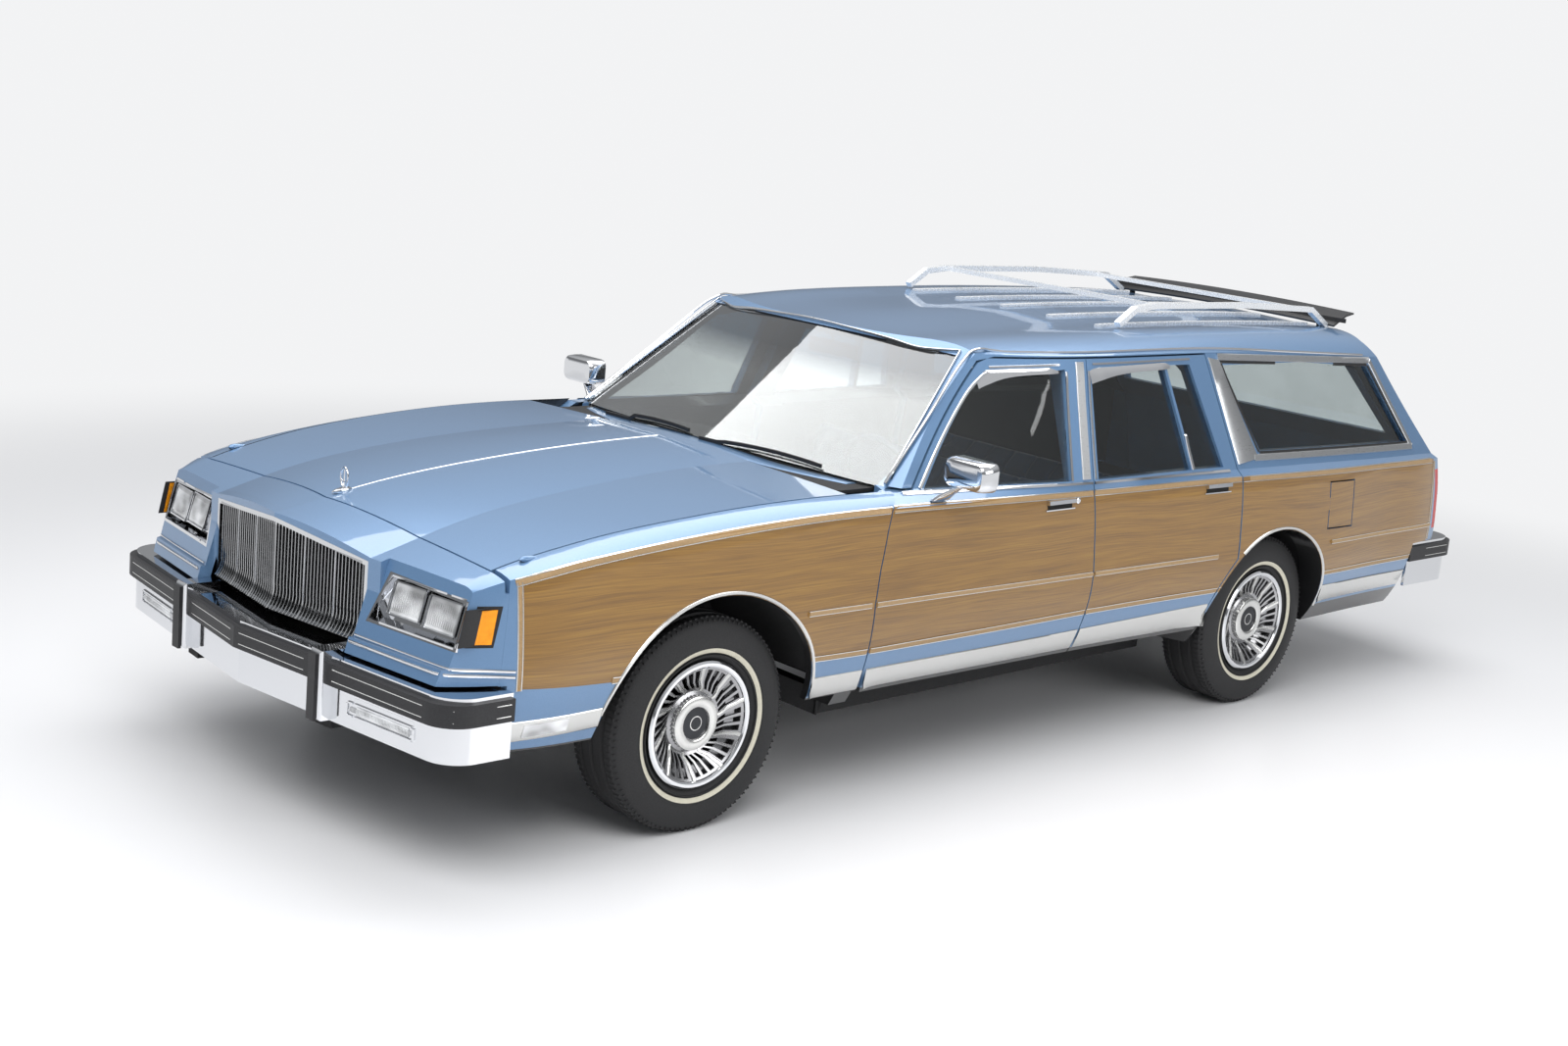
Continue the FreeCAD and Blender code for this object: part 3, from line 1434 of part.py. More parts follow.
def bumper_shell(nose, vee_share, end, margin=0):
    outer = bumper_form(nose, vee_share, end, bumper_half, bumper_corner, bumper_low - margin,
                        bumper_high + margin)
    return outer.cut(bumper_hollow(nose, vee_share, end, margin))


def guard_blocks(nose, vee_share, end, margin):
    # bright upright guards over the face bar, grown by the margin
    away = 1 if end > nose else -1
    guards = []
    for side in (1, -1):
        x = side * guard_x
        y_low, y_high = sorted((nose + away * (vee_share * guard_x - guard_reach + pad_depth),
                                nose + away * (vee_share * guard_x + guard_shelf)))
        guard = block(x - guard_half - margin, x + guard_half + margin, y_low - margin, y_high + margin,
                      bumper_low - margin, guard_high + margin)
        front = y_low - margin if away > 0 else y_high + margin
        edges = [edge for edge in guard.Edges
                 if all(abs(vertex.Y - front) < touch_gap for vertex in edge.Vertexes)]
        guards.append(guard.makeFillet(guard_round, edges))
    return guards


def bumper_strip(nose, vee_share, end):
    away = 1 if end > nose else -1
    outer = bumper_form(nose - away * strip_stand, vee_share, end,
                        bumper_half + strip_stand * strip_rise_share,
                        bumper_corner, strip_low, strip_high)
    bar = bumper_form(nose - away * touch_gap, vee_share, end + away * overrun, bumper_half + touch_gap,
                      bumper_corner + touch_gap, bumper_low - overrun, bumper_high + touch_gap)
    strip = outer.cut(bar)
    pads = []
    for guard in guard_blocks(nose, vee_share, end, touch_gap):
        strip = strip.cut(guard)
        box = guard.BoundBox
        face = box.YMin if away > 0 else box.YMax
        y_low, y_high = sorted((face, face - away * pad_depth))
        x = (box.XMin + box.XMax) / 2
        pad = block(x - pad_half, x + pad_half, y_low, y_high, bumper_low, guard_high - pad_inset)
        pads.append(pad)
    return Part.makeCompound(strip.Solids + pads)


def park_block(margin, depth):
    return block(park_inner - margin, park_outer + margin, -half_length, depth, park_low - margin,
                 park_high + margin)


def make_park_lamp():
    shell = bumper_shell(bumper_nose, bumper_vee_share, bumper_front_end)
    return shell.common(park_block(0, header_seam))


def make_bumper(nose, vee_share, end):
    shell = bumper_shell(nose, vee_share, end)
    hollow = bumper_hollow(nose, vee_share, end).common(block(-half_width, half_width, -half_length,
                                                              half_length,
                                                              0, bumper_high - bumper_wall))
    return fused([shell] + [guard.cut(hollow) for guard in guard_blocks(nose, vee_share, end, 0)])


def make_front_bumper():
    shell = make_bumper(bumper_nose, bumper_vee_share, bumper_front_end)
    room = park_block(touch_gap, header_seam)
    return shell.cut(room).cut(mirrored(room))


# cabin fittings
dash_half = 700.0
dash_outline = ((-1079.7, 640.0), (-1079.7, 950.0), (-900.0, 985.0), (-700.0, 992.0), (-618.0, 968.0),
                (-590.0, 915.0), (-612.0, 800.0), (-640.0, 660.0), (-760.0, 610.0), (-900.0, 610.0))
wheel_centre_x = 372.0
wheel_centre_y = -430.0
wheel_centre_z = 915.0
wheel_tilt_degrees = 24.0
steering_wheel_radius = 192.0
steering_rim_radius = 13.0
steering_rim_sides = 8
steering_clearance = 0.1
column_radius = 34.0
column_shaft_radius = 10.0
column_shaft_length = 34.0
steering_hub_radius = 46.0
steering_hub_depth = 50.0
seat_half = 636.0
seat_round = 40.0
front_cushion = ((-420.0, 340.0), (-440.0, 470.0), (-400.0, 540.0), (60.0, 510.0), (150.0, 900.0),
                 (190.0, 960.0),
                 (240.0, 940.0), (238.0, 860.0), (170.0, 400.0), (130.0, 312.3), (-380.0, 312.3))
rear_cushion = ((390.0, 340.0), (370.0, 460.0), (410.0, 530.0), (760.0, 505.0), (832.0, 860.0),
                (872.0, 905.0),
                (928.0, 890.0), (928.0, 830.0), (800.0, 400.0), (775.0, 312.3), (420.0, 312.3))


def make_seat(outline):
    seat = side_prism(list(outline), -seat_half, seat_half)
    edges = []
    for edge in seat.Edges:
        direction = edge.tangentAt(edge.FirstParameter)
        if abs(direction.x) > 0.99 and edge.Vertexes[0].Z > floor_height + overrun * 2:
            edges.append(edge)
    return seat.makeFillet(seat_round / 2, edges).cut(tunnel_form(floor_sheet + touch_gap, overrun))


def column_axis():
    tilt = math.radians(wheel_tilt_degrees)
    return V(0, math.cos(tilt), math.sin(tilt))


def make_dashboard():
    dash = side_prism(list(dash_outline), -dash_half, dash_half)
    centre = V(wheel_centre_x, wheel_centre_y, wheel_centre_z)
    axis = column_axis()
    reach = (wheel_centre_y + dash_half) / axis.y
    column_end = centre - axis * (steering_hub_depth / 2 + touch_gap)
    column = Part.makeCylinder(column_radius, reach, column_end - axis * reach, axis)
    shaft = Part.makeCylinder(column_shaft_radius, column_shaft_length, column_end, axis)
    return fused([dash, column, shaft])


def make_steering_wheel():
    centre = V(wheel_centre_x, wheel_centre_y, wheel_centre_z)
    axis = column_axis()
    corners = []
    for step in range(steering_rim_sides):
        angle = math.tau * (step + 0.5) / steering_rim_sides
        corners.append(V(steering_wheel_radius + steering_rim_radius * math.cos(angle), 0,
                         steering_rim_radius * math.sin(angle)))
    rim = Part.Face(Part.makePolygon(corners + corners[:1])).revolve(origin, along_z, 360)
    hub = Part.makeCylinder(steering_hub_radius, steering_hub_depth, V(0, 0, -steering_hub_depth / 2))
    spokes = []
    for side in (1, -1):
        spokes.append(beam(V(0, 0, 0), V(side * steering_wheel_radius, steering_hub_radius, 0),
                           steering_hub_radius * spoke_root_share, steering_rim_radius))
    wheel = fused([rim, hub] + spokes)
    bore = Part.makeCylinder(column_shaft_radius + steering_clearance, column_shaft_length + touch_gap,
                             V(0, 0, -steering_hub_depth / 2 - touch_gap))
    wheel = wheel.cut(bore)
    wheel.rotate(origin, along_x, -90 + wheel_tilt_degrees)
    wheel.translate(centre)
    return wheel


# outside fittings
rail_x = 556.0
rail_radius = 14.0
rail_places = ((585.0, 1502.0), (680.0, 1560.0), (800.0, 1572.0), (1400.0, 1570.0), (1900.0, 1548.0),
               (2040.0, 1474.0))
slat_count_half = 2
slat_pitch = 243.0
slat_half = 14.0
slat_front = 545.0
slat_rear = 1990.0
slat_height = 9.0
crossbar_places = (820.0, 1830.0)
deflector_half = 640.0
deflector_outline = ((2060.0, 1510.0), (2172.0, 1540.0), (2178.0, 1551.0), (2060.0, 1528.0))
mirror_y = -735.0
mirror_inner = 972.0
mirror_outer = 1130.0
mirror_low = 1056.0
mirror_high = 1158.0
mirror_depth = 76.0
fuel_door_outline = ((1578.0, 912.0), (1762.0, 908.0), (1762.0, 722.0), (1578.0, 726.0))
fuel_door_depth = 8.0
fuel_pocket_depth = 46.0


def raised_roof(height):
    return outer_cabin.translated(V(0, 0, height))


def make_rack():
    strips = []
    band = raised_roof(slat_height).cut(raised_roof(touch_gap))
    for index in range(-slat_count_half, slat_count_half + 1):
        x = index * slat_pitch
        strips.append(band.common(block(x - slat_half, x + slat_half, slat_front, slat_rear,
                                        roof_height - half_width * slat_zone_share, roof_height + overrun)))
    frames = []
    for side in (1, -1):
        bar = side_prism(sheet_outline(list(rail_places), rail_radius * rail_sheet_share),
                         side * rail_x - rail_radius,
                         side * rail_x + rail_radius)
        frames.append(bar)
    for y in crossbar_places:
        z = rail_height_at(y)
        frames.append(block(-rail_x, rail_x, y - rail_radius, y + rail_radius, z,
                            z + rail_radius * crossbar_share))
    rails = fused(frames).cut(raised_roof(touch_gap))
    return Part.makeCompound(strips + rails.Solids)


def rail_height_at(y):
    for (y_a, z_a), (y_b, z_b) in zip(rail_places, rail_places[1:]):
        if y_a <= y <= y_b:
            return z_a + (z_b - z_a) * (y - y_a) / (y_b - y_a)
    return rail_places[0][1]


def make_deflector():
    blade = side_prism(list(deflector_outline), -deflector_half, deflector_half)
    feet = []
    for side in (1, -1):
        x = side * deflector_half * deflector_foot_share
        feet.append(block(x - slat_half, x + slat_half, slat_rear + deflector_foot_start,
                          slat_rear + deflector_foot_end,
                          roof_height - overrun * 2, roof_height + slat_half))
    return fused([blade] + feet).cut(raised_roof(touch_gap)).cut(behind_tail)


def make_mirror():
    head = block(mirror_inner, mirror_outer, mirror_y - mirror_depth / 2, mirror_y + mirror_depth / 2,
                 mirror_low, mirror_high)
    head = head.makeFillet(mirror_depth * mirror_round_share, head.Edges)
    stalk = beam(V(mirror_inner - overrun, mirror_y, belt_height - floor_sheet),
                 V(mirror_inner + overrun, mirror_y, mirror_low + floor_sheet),
                 mirror_depth * mirror_foot_share, mirror_depth * mirror_round_share)
    mirror = head.fuse(stalk)
    return mirror.cut(outer_cabin.translated(V(touch_gap, 0, touch_gap)))


def make_fuel_door():
    skin = outer_cabin.cut(outer_cabin.translated(V(-fuel_door_depth, 0, 0)))
    return skin.common(side_prism(list(fuel_door_outline), half_width / 2, half_width + overrun))


def fuel_pocket():
    grown = [(y + shut_gap * (1 if y > fuel_door_middle[0] else -1),
              z + shut_gap * (1 if z > fuel_door_middle[1] else -1)) for y, z in fuel_door_outline]
    room = outer_cabin.fuse(outer_cabin.translated(V(overrun, 0, 0)))
    room = room.cut(outer_cabin.translated(V(-fuel_pocket_depth, 0, 0)))
    land = block(0, half_width + overrun, fuel_door_outline[0][0] - shut_gap * 2,
                 fuel_door_outline[0][0] - touch_gap,
                 hinge_high, hinge_high + hinge_height)
    return room.common(side_prism(grown, half_width / 2, half_width + overrun)).cut(land)


def make_exhaust():
    points = [V(*place) for place in exhaust_places]
    tubes = []
    for start, end in zip(points, points[1:]):
        tubes.append(Part.makeCylinder(exhaust_radius, (end - start).Length, start, end - start))
        tubes.append(Part.makeSphere(exhaust_radius, end))
    tubes.pop()
    muffler = Part.makeCylinder(muffler_radius, muffler_length, V(*muffler_place), along_y)
    return fused(tubes + [muffler])


def make_tank():
    return block(-tank_half, tank_half, tank_front, tank_rear, tank_low, load_floor_height - touch_gap)


# write every piece
axle_left = V(front_track / 2, front_axle, tyre_radius)
axle_rear_left = V(rear_track / 2, rear_axle_place, tyre_radius)
wheel_form = make_wheel()
tyre_form = make_tyre()
pieces = {}
for name, place in (("front", axle_left), ("rear", axle_rear_left)):
    for part_name, form in (("wheel", wheel_form), ("tyre", tyre_form)):
        left = form.translated(place)
        pieces[part_name + "_" + name + "_left"] = left
        pieces[part_name + "_" + name + "_right"] = mirrored(left)

header = make_header()
frame = make_frame()
pieces["header_panel"] = header
pieces["grille"] = make_grille()
pieces["headlamps"] = Part.makeCompound(list(both_sides(make_headlamp().cut(make_marker_room()))))
pieces["side_markers"] = Part.makeCompound(list(both_sides(make_marker())))
pieces["parking_lamps"] = Part.makeCompound(list(both_sides(make_park_lamp())))
pieces["hood"] = make_hood()
pieces["windshield"] = make_windshield()
pieces["roof_panel"] = make_roof()
pieces["floor_pan"] = make_floor()
pieces["inner_fenders"] = Part.makeCompound(list(both_sides(make_front_liner())))
pieces["frame"] = frame
pieces["engine"] = make_engine()
pieces["gearbox"] = make_gearbox()
pieces["radiator"] = make_radiator()
pieces["rear_axle"] = make_rear_axle()
pieces["front_arms"] = make_front_arms()
pieces["front_bumper"] = make_front_bumper()
pieces["front_bumper_strip"] = bumper_strip(bumper_nose, bumper_vee_share, bumper_front_end)
pieces["rear_bumper"] = make_bumper(bumper_rear_face, bumper_rear_vee_share, bumper_rear_end)
pieces["rear_bumper_strip"] = bumper_strip(bumper_rear_face, bumper_rear_vee_share, bumper_rear_end)
pieces["tailgate"] = make_tailgate()
pieces["tail_frame"] = make_tail_frame()
pieces["tailgate_glass"] = tail_slab(glass_inset, glass_inset + glass_thickness).common(tail_window())
pieces["dashboard"] = make_dashboard()
pieces["steering_wheel"] = make_steering_wheel()
pieces["front_seat"] = make_seat(front_cushion)
pieces["rear_seat"] = make_seat(rear_cushion)
pieces["roof_rack"] = make_rack()
pieces["air_deflector"] = make_deflector()
pieces["exhaust"] = make_exhaust()
pieces["fuel_tank"] = make_tank()
pieces["fuel_door"] = make_fuel_door()

side_left = make_body_side()
lamp = make_tail_lamp()
lamp_room = outer_cabin.common(tail_slab(-overrun, tail_lamp_depth + touch_gap)).common(
    block(half_width / 2, half_width, 0, half_length, tail_lamp_low - touch_gap,
          tail_lamp_high + touch_gap))
side_left = side_left.cut(lamp_room)
pieces["tail_lamps"] = Part.makeCompound(list(both_sides(lamp)))
pieces["body_side_right"] = mirrored(side_left)
pieces["body_side_left"] = side_left.cut(fuel_pocket())
left_forms = {"fender": make_fender(),
              "door_front": door_panel(front_door_outline(), ((b_edge(0), True),),
                                       (front_window_places,)),
              "door_rear": door_panel(rear_door_outline(),
                                      ((b_edge(shut_gap), False), (c_line_points(0), True)),
                                      (rear_window_places, vent_window_places)),
              "glass_front": side_glass((front_window_places,)),
              "glass_rear": side_glass((rear_window_places, vent_window_places)),
              "mirror": make_mirror()}
for name, form in left_forms.items():
    pieces[name + "_left"] = form
    pieces[name + "_right"] = mirrored(form)
pieces["quarter_glass"] = Part.makeCompound(list(both_sides(side_glass((quarter_window_places,)))))
pieces["knuckle_left"] = make_knuckle(1)
pieces["knuckle_right"] = make_knuckle(-1)

for name, form in pieces.items():
    print(name, form.isValid(), len(form.Solids), round(form.Volume / 1e6, 2))
    form.exportStep("parts/" + name + ".step")
print(len(pieces), "pieces")
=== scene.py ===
import bpy
import bmesh
import json
import math
from functools import reduce
from mathutils import Matrix, Vector
from mathutils.bvhtree import BVHTree

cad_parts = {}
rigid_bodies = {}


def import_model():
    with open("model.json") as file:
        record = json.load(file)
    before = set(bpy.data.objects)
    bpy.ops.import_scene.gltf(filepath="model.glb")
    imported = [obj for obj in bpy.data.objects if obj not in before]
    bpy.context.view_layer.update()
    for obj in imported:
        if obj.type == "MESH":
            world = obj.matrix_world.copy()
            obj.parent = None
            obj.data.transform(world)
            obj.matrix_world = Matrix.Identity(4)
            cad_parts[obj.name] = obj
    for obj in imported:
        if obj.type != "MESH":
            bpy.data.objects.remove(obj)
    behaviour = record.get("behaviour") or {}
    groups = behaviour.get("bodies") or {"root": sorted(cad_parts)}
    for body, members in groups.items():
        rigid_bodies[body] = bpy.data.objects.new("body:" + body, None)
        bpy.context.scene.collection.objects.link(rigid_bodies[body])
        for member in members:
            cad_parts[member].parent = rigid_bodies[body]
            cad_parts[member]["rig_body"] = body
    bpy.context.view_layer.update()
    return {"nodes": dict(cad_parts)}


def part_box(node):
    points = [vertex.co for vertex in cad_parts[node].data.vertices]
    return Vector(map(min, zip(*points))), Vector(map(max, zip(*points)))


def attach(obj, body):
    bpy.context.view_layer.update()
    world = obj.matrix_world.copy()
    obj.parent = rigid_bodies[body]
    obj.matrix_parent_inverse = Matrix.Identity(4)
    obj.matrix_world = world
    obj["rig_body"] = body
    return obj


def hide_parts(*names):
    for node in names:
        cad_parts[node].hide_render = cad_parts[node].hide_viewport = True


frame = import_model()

nodes = frame["nodes"]
scene = bpy.context.scene
print("frame loaded:", len(nodes), "nodes")


# camera: place, direction and lens solved from the photo
camera = {"place": (5.4395, -5.8348, 2.3459), "yaw": 134.755, "pitch": -12.333, "roll": 5.634,
          "lens": 47.764, "sensor": 36.0, "shiftX": -0.0248, "shiftY": 0.004, "clipEnd": 200.0}


def makeCamera():
    data = bpy.data.cameras.new("camera")
    data.lens = camera["lens"]
    data.sensor_width = camera["sensor"]
    data.shift_x = camera["shiftX"]
    data.shift_y = camera["shiftY"]
    data.clip_end = camera["clipEnd"]
    obj = bpy.data.objects.new("camera", data)
    scene.collection.objects.link(obj)
    yaw, pitch, roll = (math.radians(camera[k]) for k in ("yaw", "pitch", "roll"))
    forward = Vector((math.cos(pitch) * math.cos(yaw), math.cos(pitch) * math.sin(yaw), math.sin(pitch)))
    right = forward.cross(Vector((0, 0, 1))).normalized()
    up = right.cross(forward)
    turnedRight = right * math.cos(roll) + up * math.sin(roll)
    turnedUp = up * math.cos(roll) - right * math.sin(roll)
    place = Matrix((turnedRight, turnedUp, -forward)).transposed().to_4x4()
    place.translation = Vector(camera["place"])
    obj.matrix_world = place
    scene.camera = obj


# shader nodes, for materials and the world alike
def feed(owner, node, inputs):
    # a value goes on the socket itself, and another node's output is linked to it
    for key, value in inputs.items():
        if isinstance(value, bpy.types.NodeSocket):
            owner.node_tree.links.new(value, node.inputs[key])
        else:
            node.inputs[key].default_value = value


def addNode(owner, kind, inputs=None, **settings):
    node = owner.node_tree.nodes.new("ShaderNode" + kind)
    for key, value in settings.items():
        setattr(node, key, value)
    feed(owner, node, inputs or {})
    return node


def calc(owner, operation, *values):
    return addNode(owner, "Math", dict(enumerate(values)), operation=operation).outputs[0]


def allOf(mat, *masks):
    return reduce(lambda a, b: calc(mat, "MULTIPLY", a, b), masks)


def anyOf(mat, *masks):
    return reduce(lambda a, b: calc(mat, "MAXIMUM", a, b), masks)


def separate(owner, vector):
    return addNode(owner, "SeparateXYZ", {0: vector}).outputs


def ramp(owner, source, *stops):
    node = addNode(owner, "ValToRGB", {"Fac": source})
    elements = node.color_ramp.elements
    while len(elements) < len(stops):
        elements.new(0.5)
    for element, (place, color) in zip(elements, stops):
        element.position = place
        element.color = (*color, 1)
    return node.outputs["Color"]


def remap(mat, source, low, high):
    return addNode(mat, "MapRange", {"Value": source, "To Min": low, "To Max": high}).outputs["Result"]


def fromRange(mat, source, low, high, **settings):
    return addNode(mat, "MapRange", {"Value": source, "From Min": low, "From Max": high},
                   **settings).outputs["Result"]


def blend(owner, factor, first, second):
    return addNode(owner, "Mix", {"Factor": factor, 6: first, 7: second}, data_type="RGBA").outputs[2]


def objectCoords(mat, scale=(1, 1, 1)):
    coords = addNode(mat, "TexCoord").outputs["Object"]
    return addNode(mat, "Mapping", {"Vector": coords, "Scale": scale}).outputs["Vector"]


def noise(mat, vector, scale, detail):
    return addNode(mat, "TexNoise", {"Vector": vector, "Scale": scale, "Detail": detail}).outputs["Fac"]


def grain(mat, scale, detail=3.0, stretch=(1, 1, 1)):
    return noise(mat, objectCoords(mat, stretch), scale, detail)


def ownNormal(mat):
    # the face's normal in the frame of the piece, so it stays put when the piece moves
    geometry = addNode(mat, "NewGeometry")
    turn = addNode(mat, "VectorTransform", {0: geometry.outputs["True Normal"]}, vector_type="NORMAL",
                   convert_from="WORLD", convert_to="OBJECT")
    return separate(mat, turn.outputs[0])


def shaderOf(mat):
    return mat.node_tree.nodes["Principled BSDF"]


def newMaterial(name, color, roughness, metallic=0.0, **more):
    mat = bpy.data.materials.new(name)
    mat.use_nodes = True
    feed(mat, shaderOf(mat), {"Base Color": (*color, 1), "Roughness": roughness, "Metallic": metallic,
                              "IOR": 1.45})
    feed(mat, shaderOf(mat), {key.replace("_", " "): value for key, value in more.items()})
    return mat


# studio: pale floor that fades into white surroundings, and big soft lamps
studio = {"floorRadius": 45.0, "floorColor": (0.80, 0.80, 0.81), "floorRoughness": 0.32, "fade": (3.4, 7.0),
          "backColor": (0.92, 0.925, 0.935, 1), "backStrength": 0.97, "light": (0.93, 0.96, 1.0, 1),
          "lightStrength": 0.42,
          "sky": ((0.0, (0.55, 0.56, 0.58)), (0.05, (0.16, 0.1632, 0.168)), (0.20, (0.28, 0.2856, 0.294)),
                  (0.42, (0.46, 0.4692, 0.483)), (0.62, (0.60, 0.605, 0.615)))}
softboxes = {"keySoftbox": {"place": (2.5, -4.5, 5.2), "aim": (0, -0.3, 0.8), "size": (6.5, 3.2),
                            "power": 330},
             "topSoftbox": {"place": (-0.5, 0.8, 5.4), "aim": (0, 0.5, 0.6), "size": (7.5, 4.5),
                            "power": 330},
             "sideSoftbox": {"place": (7.5, 1.6, 3.0), "aim": (0.5, 0.2, 0.7), "size": (6.0, 2.6),
                             "power": 150}}


def makeWorld():
    world = bpy.data.worlds.new("studio")
    scene.world = world
    world.use_nodes = True
    world.node_tree.nodes.clear()
    # bright things mirror a darker horizon under the pale ceiling
    path = addNode(world, "LightPath").outputs
    height = separate(world, addNode(world, "TexCoord").outputs["Generated"])["Z"]
    seenColor = blend(world, path["Is Glossy Ray"], studio["backColor"], ramp(world, height, *studio["sky"]))
    light = addNode(world, "Background", {"Color": studio["light"], "Strength": studio["lightStrength"]})
    seen = addNode(world, "Background", {"Color": seenColor, "Strength": studio["backStrength"]})
    shown = anyOf(world, path["Is Camera Ray"], path["Is Glossy Ray"], path["Is Transmission Ray"])
    mixed = addNode(world, "MixShader", {0: shown, 1: light.outputs[0], 2: seen.outputs[0]})
    addNode(world, "OutputWorld", {0: mixed.outputs[0]})


def makeFloor():
    mesh = bpy.data.meshes.new("floor")
    bm = bmesh.new()
    bmesh.ops.create_circle(bm, cap_ends=True, segments=96, radius=studio["floorRadius"])
    bm.to_mesh(mesh)
    bm.free()
    floor = bpy.data.objects.new("floor", mesh)
    scene.collection.objects.link(floor)
    mat = newMaterial("studioFloor", studio["floorColor"], studio["floorRoughness"], IOR=1.5)
    far = addNode(mat, "VectorMath", {0: addNode(mat, "TexCoord").outputs["Object"]}, operation="LENGTH")
    fade = fromRange(mat, far.outputs["Value"], *studio["fade"], interpolation_type="SMOOTHSTEP")
    glow = addNode(mat, "Emission", {"Color": studio["backColor"], "Strength": studio["backStrength"]})
    mixed = addNode(mat, "MixShader", {0: fade, 1: shaderOf(mat).outputs[0], 2: glow.outputs[0]})
    feed(mat, mat.node_tree.nodes["Material Output"], {"Surface": mixed.outputs[0]})
    mesh.materials.append(mat)


def makeSoftboxes():
    for name, look in softboxes.items():
        data = bpy.data.lights.new(name, "AREA")
        data.shape = "RECTANGLE"
        data.size, data.size_y = look["size"]
        data.energy = look["power"]
        lamp = bpy.data.objects.new(name, data)
        scene.collection.objects.link(lamp)
        lamp.location = look["place"]
        toward = Vector(look["aim"]) - Vector(look["place"])
        lamp.rotation_euler = toward.to_track_quat("-Z", "Y").to_euler()


scene.view_settings.view_transform = "Standard"
makeCamera()
makeWorld()
makeFloor()
makeSoftboxes()
print("camera and studio done")


# paint and wood film; borders of the film are (y, z) places along the side
paintLook = {"deep": (0.105, 0.205, 0.365), "light": (0.14, 0.262, 0.445), "lining": (0.02, 0.028, 0.045, 1),
             "black": (0.012, 0.012, 0.013, 1), "flake": 900.0, "roughness": 0.34, "metal": 0.35}
woodLook = {"dark": (0.105, 0.043, 0.003), "mid": (0.225, 0.108, 0.009), "light": (0.33, 0.178, 0.020),
            "roughness": 0.42, "drift": 0.10,
            "streaks": ((0.8, 34.0, 4.0, 0.24), (2.6, 210.0, 5.0, 0.40), (7.0, 820.0, 3.0, 0.36))}
woodTop = ((-2.50, 0.876), (-2.44, 0.886), (-2.343, 0.908), (-2.198, 0.932), (-1.852, 0.966), (-1.47, 0.988),
           (-0.987, 0.994), (0.053, 0.976), (0.941, 0.973), (2.445, 0.953), (2.60, 0.951))
woodLow = ((-2.50, 0.577), (-2.114, 0.560), (-1.05, 0.513), (0.77, 0.523), (2.60, 0.520))
woodEnds = {"front": -2.422, "rear": 2.462, "inner": 0.835}
tailgateWood = {"half": 0.655, "low": 0.575, "high": 0.940}
blackParts = {"arches": ((-1.697, 0.437), (1.247, 0.401)), "axleHeight": 0.345, "low": 0.378}


def flakes(mat):
    return ramp(mat, grain(mat, paintLook["flake"], 1.0), (0.3, paintLook["deep"]), (0.7, paintLook["light"]))


def makePaint():
    # undersides such as the roof lining are dark
    mat = newMaterial("bluePaint", paintLook["light"], paintLook["roughness"], Coat_Weight=1.0)
    under = calc(mat, "LESS_THAN", ownNormal(mat)["Z"], -0.35)
    feed(mat, shaderOf(mat), {"Base Color": blend(mat, under, flakes(mat), paintLook["lining"]),
                              "Metallic": remap(mat, under, paintLook["metal"], 0.0)})
    return mat


def makeWoodLook(mat, along="Y"):
    # oak film: fine streaks in one direction over slow, drifting bands
    place = separate(mat, objectCoords(mat))
    bend = grain(mat, 1.0, 2.0, (1.0, 0.8, 2.2))
    drift = calc(mat, "ADD", place["Z"], calc(mat, "MULTIPLY", bend, woodLook["drift"]))
    tones = []
    for length, across, detail, weight in woodLook["streaks"]:
        spot = addNode(mat, "CombineXYZ", {"Y": calc(mat, "MULTIPLY", place[along], length),
                                           "Z": calc(mat, "MULTIPLY", drift, across)}).outputs[0]
        tones.append(calc(mat, "MULTIPLY", noise(mat, spot, 1.0, detail), weight))
    mixed = reduce(lambda a, b: calc(mat, "ADD", a, b), tones)
    return ramp(mat, mixed, (0.33, woodLook["dark"]), (0.5, woodLook["mid"]), (0.68, woodLook["light"]))


def curveOfY(mat, y, points, low=0.4, high=1.1, reach=3.0):
    # a float curve that turns y into the height of a border
    node = addNode(mat, "FloatCurve", {"Value": calc(mat, "DIVIDE", calc(mat, "ADD", y, reach), reach * 2)})
    curve = node.mapping.curves[0]
    scaled = [((a + reach) / (reach * 2), (b - low) / (high - low)) for a, b in points]
    curve.points[0].location = scaled[0]
    curve.points[1].location = scaled[-1]
    for point in scaled[1:-1]:
        curve.points.new(*point)
    node.mapping.update()
    return calc(mat, "ADD", calc(mat, "MULTIPLY", node.outputs["Value"], high - low), low)


def distanceFrom(mat, y, z, axle):
    dy, dz = (calc(mat, "POWER", calc(mat, "ABSOLUTE", calc(mat, "SUBTRACT", a, b)), 2.0)
              for a, b in ((y, axle), (z, blackParts["axleHeight"])))
    return calc(mat, "SQRT", calc(mat, "ADD", dy, dz))


